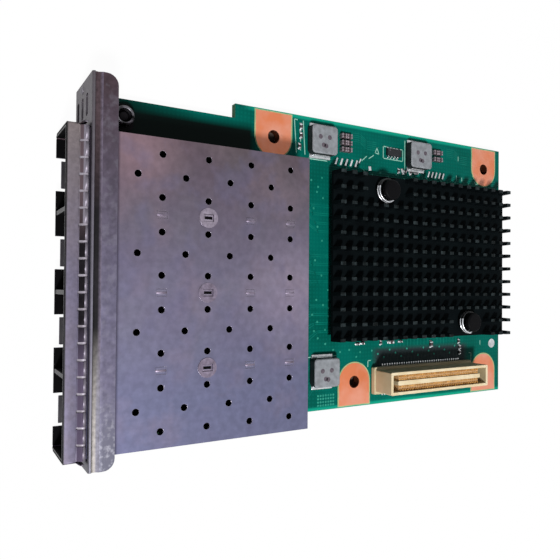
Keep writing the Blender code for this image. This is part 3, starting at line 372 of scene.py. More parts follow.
def nickel_sheet():
    """Satin nickel plating on rolled sheet: fine rolling lines, brown and lavender clouds, small rubs,
    painted shade across the sheet and along the faceplate's flange, painted sheen in two broad patches, and
    painted shade at the mouth.
    """
    made = Finish(
        "Satin nickel plated sheet, painted shade and sheen", ("cage", "#70747f"), 9, 0.5, 0.006, (0.36, 0.52), (1, 0.12, 1), 0.85
    )
    # Painted shade: darker and browner towards the far end at low X, darker and bluer towards high X
    made.tint_across(CAGE_LOW.x, CARD.x, ("cage_shade", "cage"), 0.8)
    made.tint_over(*reach(CARD.x, 4, 20), "#616583", cover=0.7)
    # Painted sheen: two broad pale patches on the sheet
    made.tint_round(on_card(-26, 8, 10), 13, "#9a7a84", 0.5)
    made.tint_round(on_card(0, 42, 10), 16, "#9a8c9f", 0.45)
    made.tint_patches(10, "#86727c", 0.25)
    made.tint_patches(5.3, "#63617e", 0.3)
    # Painted shadow of the faceplate's flange along the cage
    made.tint_over(*reach(CARD.y, 5.3, 4.8), "#2a2637", "Y", 0.8)
    made.paint_mouth_shade()
    made.vary_level(1.4, 0.9, 1.1)
    return made


def worn_nickel():
    """Cut and rubbed edges of the same sheet, where bright metal shows, with painted shade at the mouth."""
    made = Finish("Bright cut nickel edge", ("#b7b1be", "#9a93a2"), 2, 0.2, 0.004, (0.28, 0.42), metal=0.9)
    made.paint_mouth_shade()
    return made


def raised_nickel_highlight():
    """Raised spots of the cage, paler and pinkish, with a painted highlight round the first of them."""
    made = Finish("Raised nickel, painted highlight", ("#82788a", "#6f6575"), 1.2, 0.2, 0.004, (0.4, 0.55), metal=0.8)
    # Painted highlight: a pale ring round the first raised spot
    made.tint_round((DIVIDER_XS[0], VENT_YS[EMBOSSED_COLUMN], CAGE_TOP), 5, "#b9b0bc", 0.3)
    made.vary_level(0.7, 0.75, 1.2)
    return made


def cage_inside_shade():
    """The inside of the cage, painted dark and dull as shade."""
    return Finish(
        "Inside of the cage in painted shade", ("#060607", "#0b0a0c"), 5, 0.4, 0.006, (0.6, 0.8), gloss=0.04
    )


def latch_sheet_shade():
    """The cage's sprung latch tongues: the same sheet, painted dark grey as the shade inside the mouth."""
    return Finish(
        "Latch tongue in painted shade", ("#363438", "#28272b"), 3, 0.3, 0.006, (0.45, 0.6), (1, 0.2, 1), 0.5
    )


def plated_steel():
    """Zinc plated steel: brushed along the faceplate, darker and browner towards the far end and darker at
    the port end as painted shade, with faint short scuffs, and with pale blotches at the port end."""
    made = Finish(
        "Brushed plated steel", ("plate", "#575560"), 6, 0.35, 0.006, (0.44, 0.6), (0.06, 1, 1), 0.8
    )
    # Painted shade: darker and browner towards the far end
    made.tint_across(PLATE_LOW.x, CARD.x + 2 * MM, ("plate_shade", "plate"), 0.85)
    made.vary_level(1.1, 0.8, 1.18)
    made.tint_patches(1.3, "#827f8b", 0.22)
    # Painted shade that darkens the faceplate towards the port end
    made.tint_box(38, 2, (8, 10), (14, 1), "#5c5c69")
    chips = {0: made.clouds(0.7, 8.0, 0.48, 0.7, most=0.55), 1: made.ramp(*reach(CARD.x, 16, 29))}
    made.blend(made.add("Math", "Value", chips, operation="MULTIPLY"), "#a9a8b2")
    made.tint_over(*reach(PLATE_LOW.y, 0.6, 0.4), "#5f5d62", "Y", 0.6)
    return made


def rolled_crease():
    """The crease rolled into the bend: painted dark as shade in its hollow, fading towards the far end and up
    its rear slope, and painted bright as a highlight at the port end.
    """
    made = Finish(
        "Rolled crease, painted shade and highlight", ("#0e0d10", "#1b191d"), 6, 0.2, 0.004, (0.4, 0.55), (0.1, 1, 1), 0.4, 0.15
    )
    # Painted highlight along the crease at the port end
    made.tint_over(*reach(CARD.x, 6, 20), "#8d8885")
    made.tint_over(*reach(CARD.x, -14, -30), "#4c3e43")
    made.tint_over(*reach(PLATE_LOW.y, 1.35, 1.9), "#746b7d", "Y")
    made.tint_box(34, 2.25, (14, 0.85), (12, 0.3), "#6b6974")
    made.vary_level(0.7, 0.7, 1.2)
    return made


def foot_shade_steel():
    """The foot and its screw, painted near black as shade, and dull."""
    return Finish(
        "Foot steel in painted shade", ("#0f0e10", "#1a181b"), 2, 0.2, 0.005, (0.55, 0.7), metal=0.2, gloss=0.06
    )


def worn_steel_highlight():
    """Rubbed edges of the faceplate, painted lighter also as a highlight."""
    return Finish("Rubbed steel edge, painted highlight", ("#858388", "#67646b"), 3, 0.2, 0.004, (0.42, 0.56), metal=0.8)


def spring_sheet():
    """Rolled spring alloy under tin: satin, faintly streaked along the strip, paler and browner towards the
    far end as painted sheen, with painted shade at the mouth.
    """
    made = Finish(
        "Tinned spring sheet", ("collar", "#676072"), 3, 0.25, 0.003, (0.42, 0.56), (0.3, 1, 1), 0.45
    )
    # Painted sheen: paler and browner towards the far end
    made.tint_over(CARD.x - 2 * MM, COLLAR_LOW.x, "#766c6c")
    made.paint_mouth_shade()
    made.vary_level(0.7, 0.85, 1.15)
    return made


def crest_highlight():
    """Crests of the fingers, painted lighter as a highlight."""
    return Finish("Finger crest, painted highlight", ("crest", "#77717c"), 1.5, 0.2, 0.003, (0.4, 0.55), metal=0.75)


def liner_highlight():
    """The strip behind the fingers, painted bright as a highlight where it shows through their slots."""
    return Finish(
        "Strip behind the fingers, painted highlight", ("#a19ba6", "#878089"), 2, 0.2, 0.003, (0.45, 0.6), metal=0.6
    )


def bend_shade():
    """Bends of the fingers, painted dark as shade, most of all in the middle."""
    made = Finish(
        "Finger bend in painted shade", ("flank", "#120f14"), 1, 0.15, 0.004, (0.5, 0.7), metal=0.3, gloss=0.08
    )
    made.tint_over(*reach(CARD.x, -8, -17), "#5c4e54")
    made.tint_over(*reach(CARD.x, 5, 13), "#564c60")
    made.paint_mouth_shade()
    return made


def black_anodised():
    """Black anodised aluminium, etched before dyeing: dense black, dry, with a very fine grain."""
    return Finish(
        "Black anodised aluminium", ("anodised", "#0c1214"), 6, 0.12, 0.004, (0.6, 0.8), gloss=0.02
    )


def pin_tip_highlight():
    """Tips of the pins, painted lighter as a highlight."""
    made = Finish(
        "Pin tips, painted highlight", ("anodised_tip", "#151b1c"), 5, 0.1, 0.004, (0.4, 0.6), metal=0.2, gloss=0.06
    )
    made.vary_level(0.9, 0.3, 1.5)
    return made


def black_plastic():
    """Glass-filled polyamide: black, half matt, with short pale flow lines."""
    return Finish(
        "Black glass-filled polyamide", ("black", "#0c0c0e"), 3, 0.12, 0.006, (0.42, 0.6),
        (1, 0.4, 1), gloss=0.04,
    )


def cream_plastic():
    """Cream liquid-crystal polymer: waxy, with flow streaks along the moulding."""
    return Finish(
        "Cream liquid-crystal polymer", ("cream", "#bdae88"), 5, 0.3, 0.006, (0.38, 0.55),
        (1, 0.15, 1), gloss=0.3,
    )


def cream_rim_highlight():
    """Top faces of the same polymer, painted paler than its sides as a highlight."""
    return Finish(
        "Polymer rim, painted highlight", ("#f7e6c2", "#ecd6ac"), 3, 0.3, 0.004, (0.4, 0.55),
        (1, 0.15, 1), gloss=0.3,
    )


def amber_insulator():
    """Insulator between the contacts, which takes their colour."""
    return Finish(
        "Amber insulator between contacts", ("#d2a878", "#b98f5e"), 1.5, 0.2, 0.004, (0.45, 0.6), gloss=0.3
    )


def plated_gold():
    """Thin gold on the spring contacts: warm, clean and smooth."""
    return Finish("Gold plated contact", ("gold", "#9a6a2c"), 1.2, 0.1, 0.002, (0.35, 0.5), metal=0.55)


def tin_solder():
    """Reflowed solder and tinned leads: bright, with frosted patches."""
    return Finish("Reflowed solder", ("tin", "#b3b7bb"), 0.8, 0.12, 0.006, (0.22, 0.42), metal=0.75)


def pressed_ferrite():
    """Pressed and lacquered iron powder: light grey, finely pitted."""
    return Finish("Pressed iron powder", ("ferrite", "#85888c"), 1.3, 0.22, 0.012, (0.5, 0.7), gloss=0.25)


def fired_ceramic():
    """Fired ceramic of the small capacitors: dark brown-grey, smooth and dense."""
    return Finish("Dark fired ceramic", ("ceramic", "#3a3033"), 0.9, 0.12, 0.003, (0.3, 0.45), gloss=0.3)


def fired_ends():
    """Ends of the larger capacitors: tinned, dulled to a pinkish grey."""
    return Finish("Dulled tinned ends", ("#9b8f96", "#7f747b"), 0.8, 0.12, 0.004, (0.35, 0.5), metal=0.6)


def chip_epoxy():
    """Moulding compound of the chips: near black, sparkle-ground."""
    return Finish("Moulded chip epoxy", ("package", "#26272b"), 2, 0.12, 0.005, (0.5, 0.68), gloss=0.25)


def inductor_side_shade():
    """Sides of the inductors, painted dark as shade."""
    return Finish("Inductor side in painted shade", ("#2c3234", "#1e2526"), 2, 0.2, 0.006, (0.55, 0.7), gloss=0.08)


def dark_mark():
    """Inked or punched dots on the parts' tops."""
    return Finish("Dark ink dot", ("#6c636a", "#574f58"), 0.5, 0.1, 0.003, (0.5, 0.65), gloss=0.2)


def thermal_putty():
    """Filled silicone under the heat sink: soft, grey and dry."""
    return Finish("Grey thermal silicone", ("#8b94a0", "#78818d"), 3, 0.2, 0.02, (0.65, 0.85), gloss=0.2)


def spring_wire():
    """Drawn stainless wire: painted bright along its length as the coil's lit side, beside its shaded copy.
    """
    return Finish("Drawn stainless wire", ("#e4e6ea", "#bfc3c9"), 2, 0.15, 0.002, (0.16, 0.3), metal=0.9)


def shaded_wire():
    """The same wire on the side that the pin's head shades."""
    return Finish("Shaded stainless wire", ("#1a1c1f", "#0e1012"), 2, 0.15, 0.002, (0.4, 0.6), metal=0.4)


def machine_steel():
    """Zinc plated screw and nut: grey, strongly mottled."""
    made = Finish("Zinc plated fastener", ("#6f6d73", "#59565d"), 1.5, 0.15, 0.005, (0.3, 0.46), metal=0.85)
    made.vary_level(1.6, 0.0, 1.9)
    return made


MADE = {}


def finish(*makers):
    """The materials that these functions make, each made once."""
    for make in makers:
        if make not in MADE:
            MADE[make] = make().material
    return [MADE[make] for make in makers]


def make_piece(name, bm, makers, stands_for=(), crease=48.0):
    """Turns a finished mesh into a piece of the card, its broad faces kept flat and its roundings smooth."""
    for face in bm.faces:
        face.smooth = True
    mesh = bpy.data.meshes.new(name)
    bm.to_mesh(mesh)
    bm.free()
    mesh.set_sharp_from_angle(angle=math.radians(crease))
    for material in finish(*makers):
        mesh.materials.append(material)
    piece = bpy.data.objects.new(name, mesh)
    bpy.context.scene.collection.objects.link(piece)
    shading = piece.modifiers.new("flat faces stay flat", "WEIGHTED_NORMAL")
    shading.keep_sharp = True
    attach(piece, "root")
    if stands_for:
        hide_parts(*stands_for)
    return piece


def build_piece(name, bm, makers, stands_for=()):
    """Makes a piece of a mesh built here, with every closed shell's faces turned outwards."""
    bmesh.ops.remove_doubles(bm, verts=bm.verts, dist=0.0002 * MM)
    bmesh.ops.recalc_face_normals(bm, faces=bm.faces)
    return make_piece(name, bm, makers, stands_for)


def round_edges(bm, edges, offset, segments=2, worn=None):
    """Rounds edges, and gives the rounding a finish of its own if worn names its slot."""
    made = bmesh.ops.bevel(
        bm, geom=list(edges), offset=offset, offset_type="OFFSET", segments=segments, profile=0.5,
        affect="EDGES", clamp_overlap=True, material=-1,
    )
    if worn is not None:
        for face in made["faces"]:
            face.material_index = worn


def sharp_edges(bm, angle=40.0):
    """Edges whose two faces meet at more than this angle."""
    limit = math.radians(angle)
    return [edge for edge in bm.edges if len(edge.link_faces) == 2 and edge.calc_face_angle(0.0) > limit]


def copy_node(node):
    """A copy of a CAD node's mesh with its triangles merged back into flat faces."""
    bm = bmesh.new()
    bm.from_mesh(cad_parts[node].data)
    bmesh.ops.remove_doubles(bm, verts=bm.verts, dist=0.0005 * MM)
    bmesh.ops.dissolve_limit(bm, angle_limit=math.radians(0.5), verts=bm.verts, edges=bm.edges)
    for face in bm.faces:
        face.material_index = 0
    return bm


def paint_faces(bm, rules):
    """Gives each face the finish of the first rule that holds for its middle and its normal."""
    for face in bm.faces:
        middle, normal = face.calc_center_median(), face.normal
        found = (number for number, holds in rules if holds(middle, normal))
        face.material_index = next(found, face.material_index)


def dress_node(node, name, offset, makers, slot, segments=2, worn=None, paint=(), crease=48.0, rims=None):
    """A rounded copy of a CAD node that stands for it. paint holds rules for its faces' finishes, and rims
    picks edges that are rounded more."""
    bm = copy_node(node)
    paint_faces(bm, paint)
    if rims:
        round_edges(bm, rims(bm), 3 * offset, segments, worn)
    round_edges(bm, sharp_edges(bm), offset, segments, worn)
    bm.normal_update()
    paint_faces(bm, paint)
    return make_piece(name, bm, makers, (node,), crease)


def set_faces(verts, material):
    """Gives the faces at these vertices a finish."""
    for face in {face for vert in verts for face in vert.link_faces}:
        face.material_index = material


def only_verts(geometry):
    """The vertices among what an operator gives back."""
    return [item for item in geometry if isinstance(item, bmesh.types.BMVert)]


def add_block(bm, corner, opposite, offset=0.0, material=0, turn=0.0, segments=1):
    """A box between two opposite corners, turned about its own upright axis, with its edges rounded."""
    middle = (Vector(corner) + Vector(opposite)) / 2
    size = [abs(length) for length in Vector(opposite) - Vector(corner)]
    matrix = Matrix.Translation(middle) @ Matrix.Rotation(turn, 4, "Z") @ Matrix.Diagonal((*size, 1.0))
    made = bmesh.ops.create_cube(bm, size=1.0, matrix=matrix)["verts"]
    set_faces(made, material)
    if offset:
        round_edges(bm, {edge for vert in made for edge in vert.link_edges}, offset, segments)


def add_slab(bm, place, half, rise, offset, material=0, turn=0.0, segments=1):
    """A block about a point, in millimetres: half its lengths along X and Y, and its heights from there."""
    low = Vector((-half[0], -half[1], rise[0])) * MM
    high = Vector((half[0], half[1], rise[1])) * MM
    add_block(bm, Vector(place) + low, Vector(place) + high, offset * MM, material, turn, segments)


def add_round(bm, centre, radius, low, high, sides, offset=0.0, material=0):
    """An upright cylinder between two heights, with its rims rounded."""
    matrix = Matrix.Translation((centre[0], centre[1], (low + high) / 2))
    made = bmesh.ops.create_cone(
        bm, cap_ends=True, segments=sides, radius1=radius, radius2=radius, depth=high - low, matrix=matrix
    )["verts"]
    set_faces(made, material)
    if offset:
        edges = {edge for vert in made for edge in vert.link_edges}
        rims = [edge for edge in edges if abs(edge.verts[0].co.z - edge.verts[1].co.z) < 1e-7]
        round_edges(bm, rims, offset, 2)


def add_turned(bm, centre, profile, sides, material=0):
    """Spins a profile of radius and height pairs about an upright axis."""
    start = Vector((centre[0], centre[1], 0.0))
    verts = [bm.verts.new(start + Vector((radius, 0.0, z))) for radius, z in profile]
    edges = [bm.edges.new(pair) for pair in zip(verts, verts[1:])]
    before = set(bm.faces)
    around = {"cent": start, "axis": (0.0, 0.0, 1.0), "angle": 2 * math.pi, "steps": sides}
    bmesh.ops.spin(bm, geom=verts + edges, use_merge=True, **around)
    for face in set(bm.faces) - before:
        face.material_index = material


def arc(x, y, radius, start, end, steps):
    """Points on an arc from one angle to another, in degrees."""
    angles = [math.radians(start + (end - start) * step / steps) for step in range(steps + 1)]
    return [(x + radius * math.cos(angle), y + radius * math.sin(angle)) for angle in angles]


def add_pad(bm, x, y, side, edge, radius, hole, low, high, material=0):
    """A plate with a round hole, made by bridging the two loops. It is round towards the board's middle and
    square towards its edge."""
    square = [(edge, y - side * radius), (edge, y + side * radius)]
    outline = square + arc(x, y, radius, 90 * side, 90 * side + 180, 28)
    loops = []
    for points in (outline, arc(x, y, hole, 0, 360, 36)[:-1]):
        verts = [bm.verts.new((px, py, low)) for px, py in points]
        loops += [bm.edges.new(pair) for pair in zip(verts, verts[1:] + verts[:1])]
    faces = bmesh.ops.bridge_loops(bm, edges=loops)["faces"]
    for face in faces:
        face.material_index = material
    moved = only_verts(bmesh.ops.extrude_face_region(bm, geom=faces)["geom"])
    bmesh.ops.translate(bm, verts=moved, vec=(0.0, 0.0, high - low))


def add_route(bm, points, width, low, high):
    """A flat strip along several points, given in millimetres on the card."""
    placed = [on_card(x, y).xy for x, y in points]
    for start, end in zip(placed, placed[1:]):
        run = end - start
        middle = (*(start + end) / 2, (low + high) / 2)
        half = Vector((run.length + width, width, high - low)) / 2
        add_block(bm, Vector(middle) - half, Vector(middle) + half, turn=math.atan2(run.y, run.x))


def add_small_part(bm, x, y, length, width, height, along_x):
    """A chip resistor or capacitor: a body between two tinned ends, each with its solder, in slots 0 to 2."""
    half, end, solder = length / 2, 0.28 * length, 0.22
    blocks = [(end - half, half - end, 0.04, height - 0.03, 0.0, 0)]
    for side in (-1, 1):
        blocks.append((side * half, side * (half - end), 0.04, height, 0.05, 1))
        blocks.append((side * (half + solder), side * (half - end), 0.0, 0.3 * height, 0.05, 2))
    for near, far, low, high, offset, material in blocks:
        corners = [Vector((near, -width / 2, low)), Vector((far, width / 2, high))]
        if not along_x:
            corners = [corner.yxz for corner in corners]
        add_block(bm, *(on_card(x, y) + corner * MM for corner in corners), offset * MM, material)


class CARD_OT_board(bpy.types.Operator):
    """Finishes the board and lays the copper pads in their windows in the solder mask"""

    bl_idname = "network_card.board"
    bl_label = "Board and copper pads"

    def execute(self, context):
        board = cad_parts["pcb"]
        board.data.materials.clear()
        board.data.materials.append(finish(solder_mask)[0])
        rise = sizes().copper_rise
        edge_gap, window = 0.45 * MM, 0.28 * MM
        radius, barrel, skin = 4.55 * MM, 0.12 * MM, 0.01 * MM
        inner, wall = HOLE_RADIUS - barrel, HOLE_RADIUS + 0.02 * MM
        foot, top = BOARD_BOTTOM - rise / 2, BOARD_TOP + rise
        for number, (x, y, side) in enumerate(MOUNT_HOLES, start=1):
            edge = (BOARD_LOW.x if side < 0 else RIGHT_EDGE_X) - side * edge_gap
            bm = bmesh.new()
            add_pad(bm, x, y, side, edge, radius, inner, BOARD_TOP + skin, top)
            add_pad(bm, x, y, side, edge, radius, inner, foot, BOARD_BOTTOM - skin)
            around = (edge + side * window * 0.8, radius + window, HOLE_RADIUS + barrel)
            add_pad(bm, x, y, side, *around, BOARD_TOP + skin / 2, BOARD_TOP + rise * 0.7, 1)
            lining = [(inner, foot), (wall, foot), (wall, top), (inner, top), (inner, foot)]
            add_turned(bm, (x, y), lining, 36, 2)
            build_piece(f"mount_pad_{number}", bm, (coated_copper, bare_rim, shaded_barrel))
        return {"FINISHED"}


class CARD_OT_traces(bpy.types.Operator):
    """Draws the traces and vias that show through the solder mask"""

    bl_idname = "network_card.traces"
    bl_label = "Traces and vias"

    def execute(self, context):
        low, high = reach(BOARD_TOP, -0.01, 0.015)
        routes = []
        for port_x in PORT_XS:
            middle = (port_x - CARD.x) / MM
            for lane in (-4.2, -3.6, -1.4, -0.8, 1.6, 2.2, 4.4, 5.0):
                start, end, bend = middle + lane, middle * 0.82 + lane * 0.7, 1.6 + 0.25 * lane
                routes.append((1.0, [(start, 44.0), (start, 47.0 + bend), (end, 51.0 + bend), (end, 57.5)]))
        for lane in range(26):
            y, lean = 71.4 + 1.16 * lane, 0.03 * lane
            routes.append((0.9, [(18.4, y), (16.2 - lean, y), (14.0 - lean, y + 0.9), (10.0, y + 0.9)]))
        for lane in range(7):
            x = -31.4 + 0.55 * lane
            jog = [(x, 64.0 + lane), (x + 1.2, 66.0 + lane), (x + 1.2, 96.0), (x, 98.0)]
            routes.append((0.8, [(x, 57.0), *jog, (x, 114.6)]))
        for lane in range(5):
            x = -38.6 + 0.5 * lane
            for y, knee in ((63.6, 66.0), (95.2, 98.0)):
                routes.append((0.8, [(x, y), (x, knee), (x + 1.4, knee + 2.0), (x + 1.4, knee + 5.0)]))
        bm = bmesh.new()
        for share, points in routes:
            add_route(bm, points, sizes().trace_width * share, low, high)
        build_piece("board_traces", bm, (mask_over_copper,))

        grid = [(24.0 + 0.75 * i, 54.2 + 0.72 * j) for i in range(4) for j in range(7)]
        strip = [
            (-23.4, 53.5), (-22.1, 55.2), (-24.6, 53.8), (-26.8, 54.9), (-26.0, 51.9), (-19.5, 52.6),
            (1.7, 53.5), (2.9, 55.4), (-0.6, 56.8), (1.7, 57.0), (3.6, 57.0), (5.5, 57.0), (8.7, 56.0),
            (6.8, 53.8), (8.9, 52.9), (12.0, 56.1), (13.5, 58.4), (14.1, 60.4), (13.7, 63.1), (15.5, 65.2),
            (14.4, 66.4), (10.6, 54.0), (5.1, 52.4), (-4.0, 54.9), (-7.5, 53.1), (-12.1, 55.0), (-15.3, 53.7),
        ]
        rows = [(14.2 + 0.9 * (i % 3), 70.0 + 1.9 * i) for i in range(17)]
        left = [(-29.9 + 0.8 * (i % 2), 62.0 + 2.6 * i) for i in range(18)]
        bm = bmesh.new()
        for x, y in grid + strip + rows + left:
            add_round(bm, on_card(x, y), 0.26 * MM, low, BOARD_TOP + 0.035 * MM, 10)
        build_piece("board_vias", bm, (lit_via,))
        return {"FINISHED"}


class CARD_OT_marks(bpy.types.Operator):
    """Prints plain outlines and ticks round the parts, with no words"""

    bl_idname = "network_card.marks"
    bl_label = "Printed marks"

    def execute(self, context):
        routes = [
            [(-31.9, 47.8), (-39.5, 47.2), (-39.4, 48.0)],
            [(-31.8, 50.1), (-39.3, 49.6)],
            [(-38.6, 48.7), (-37.0, 48.8)],
            [(-36.2, 48.8), (-34.6, 48.9)],
            [(-33.6, 48.6), (-32.6, 48.9)],
            [(-36.6, 73.3), (-36.4, 79.7), (-33.5, 79.7), (-33.6, 73.3), (-36.6, 73.3)],
            [(-38.8, 80.4), (-31.4, 80.4)],
            [(-34.6, 70.7), (-34.4, 71.9), (-35.9, 71.3), (-34.6, 70.7)],
            [(-32.2, 66.6), (-33.4, 68.0)],
            [(-33.0, 68.8), (-33.9, 70.2)],
            [(-30.9, 56.2), (-30.9, 51.0)],
            [(-38.9, 86.0), (-38.9, 82.0), (-37.6, 82.0)],
            [(14.9, 51.1), (14.9, 59.2)],
            [(16.6, 69.6), (16.6, 68.8), (18.0, 68.8)],
            [(16.4, 104.0), (16.4, 104.8), (18.2, 104.8)],
            [(-31.2, 106.0), (-30.2, 106.0), (-30.2, 108.0)],
            [(-30.6, 99.0), (-31.8, 99.0)],
            [(-30.6, 101.0), (-31.4, 101.0)],
            [(14.2, 108.4), (13.2, 108.4)],
            [(-36.0, 99.6), (-37.0, 99.6)],
        ]
        bm = bmesh.new()
        for points in routes:
            add_route(bm, points, sizes().ink_line, BOARD_TOP - 0.01 * MM, BOARD_TOP + sizes().ink_rise)
        build_piece("printed_marks", bm, (printed_ink,))
        return {"FINISHED"}


class CARD_OT_small_parts(bpy.types.Operator):
    """Sets the small chip parts on the board, in groups round the inductors and the connector"""

    bl_idname = "network_card.small_parts"
    bl_label = "Small parts"

    def execute(self, context):
        # Each part's place, length, width and height, and whether it lies along X
        groups = {
            "parts_by_left_pad": [
                (-37.9, 48.9, 1.3, 0.7, 0.5, True),
                (-35.9, 48.9, 1.3, 0.7, 0.5, True),
                (-33.4, 48.5, 1.1, 0.7, 0.5, True),
            ],
            "parts_by_flash_chip": [(-30.9, 78.2 + 2.0 * i, 1.0, 0.6, 0.5, i % 2 == 0) for i in range(4)],
            "parts_beside_heatsink": [
                (12.4, 65.5, 1.0, 0.55, 0.5, False),
                (12.3, 67.0, 1.0, 0.55, 0.5, False),
                (12.3, 72.6, 1.0, 0.55, 0.5, True),
                (12.3, 75.9, 1.6, 0.8, 0.7, False),
                (12.3, 79.1, 1.0, 0.55, 0.5, False),
                (13.4, 89.5, 1.5, 0.8, 0.7, True),
                (13.0, 99.8, 1.0, 0.55, 0.5, True),
                (14.6, 100.2, 1.0, 0.55, 0.5, True),
                (16.0, 100.2, 1.0, 0.55, 0.5, True),
            ],
        }
        for name, parts in groups.items():
            bm = bmesh.new()
            for part in parts:
                add_small_part(bm, *part)
            build_piece(name, bm, (fired_ceramic, tin_solder, tin_solder))

        # Tinned pads set aslant in rows behind the inductors, and single ones round them
        pads = [(-31.2, 58.9 + 1.47 * i, 1.8, 0.5, -20) for i in range(5)]
        pads += [(-31.1, 88.6 + 1.3 * i, 1.7, 0.45, -20) for i in range(5)]
        pads += [(-30.5, 69.0, 1.1, 0.8, 10), (-31.2, 82.0, 1.6, 0.7, 8), (-31.4, 84.2, 1.8, 0.8, -12)]
        pads += [(-30.9, 79.6, 1.6, 0.7, 20), (-32.0, 65.9, 1.3, 0.4, -30)]
        bm = bmesh.new()
        for x, y, length, width, turn in pads:
            half = (length / 2, width / 2)
            add_slab(bm, on_card(x, y), half, (0, 0.22), 0.08, turn=math.radians(turn), segments=2)
        add_round(bm, on_card(14.1, 113.0), 1.25 * MM, *reach(BOARD_TOP, -0.01, 0.12), 28, 0.04 * MM)
        build_piece("tinned_pads", bm, (tin_solder,))
        return {"FINISHED"}


class CARD_OT_cage(bpy.types.Operator):
    """Rounds the cut edges of the cage and shows the dividers' tabs in its top"""

    bl_idname = "network_card.cage"
    bl_label = "Port cage"

    def execute(self, context):
        metals = (nickel_sheet, worn_nickel, cage_inside_shade, raised_nickel_highlight)
        inside = (CAGE_HIGH.x - CAGE_LOW.x) / 2 - 0.1 * MM

        def faces_inwards(middle, normal):
            """Whether a face of the cover looks into the cage."""
            below = normal.z < -0.9 and middle.z > CAGE_TOP - 2 * SHEET
            beside = abs(normal.x) > 0.9 and SHEET / 2 < inside - abs(middle.x - CARD.x) < 2 * SHEET
            return below or beside or (normal.y < -0.9 and middle.y > CAGE_HIGH.y - 2 * SHEET)

        def vent_rims(bm):
            """The upper edges of the vents."""
            found = []
            for edge in bm.edges:
                middle = (edge.verts[0].co + edge.verts[1].co) / 2
                between = CAGE_LOW.y + 10 * MM < middle.y < CAGE_HIGH.y - MM
                on_top = abs(middle.x - CARD.x) < inside - MM and abs(middle.z - CAGE_TOP) < 0.02 * MM
                slopes = [face.normal.z for face in edge.link_faces]
                if between and on_top and max(slopes) > 0.9 and any(abs(slope) < 0.1 for slope in slopes):
                    found.append(edge)
            return found

        # The cover's inward faces, the floor's top and the dividers' sides take the inside's painted shade;
        # the raised spots take their own finish
        cover = [(2, faces_inwards), (3, lambda middle, normal: middle.z > CAGE_TOP + 0.01 * MM)]
        upper = [(2, lambda middle, normal: normal.z > 0.9)]
        broad = [(2, lambda middle, normal: abs(normal.x) > 0.9)]
        sheets = [("cover", "cover", cover, vent_rims), ("base", "floor", upper, None)]
        sheets += [(f"divider_{number}", f"divider_{number}", broad, None) for number in range(1, 4)]
        for node, name, paint, rims in sheets:
            names = (f"cage_{node}", f"cage_sheet_{name}")
            dress_node(*names, sizes().sheet_round, metals, "cage_sheet", 2, 1, paint, rims=rims)

        bm = bmesh.new()
        for x in DIVIDER_XS:
            for column, y in enumerate(VENT_YS):
                raised = column == EMBOSSED_COLUMN
                slit = ((0.28, 0.8), (-0.3, 0.02), 0.03, 2)
                bent_tip = ((0.2, 1.02), (-0.05, 0.03), 0.06, 3)
                add_slab(bm, (x, y, CAGE_TOP), (0.66, 1.02), (-0.3, -0.01), 0.03, 3 if raised else 0)
                add_slab(bm, (x, y, CAGE_TOP), *(slit if raised else bent_tip))
        build_piece("cage_tabs", bm, metals)

        bm = bmesh.new()
        for x in PORT_XS:
            add_slab(bm, (x, CAGE_LOW.y + 6.4 * MM, BOARD_TOP), (2.4, 5.4), (0.55, 0.68), 0.05)
        build_piece("latch_tongues", bm, (latch_sheet_shade,))
        return {"FINISHED"}


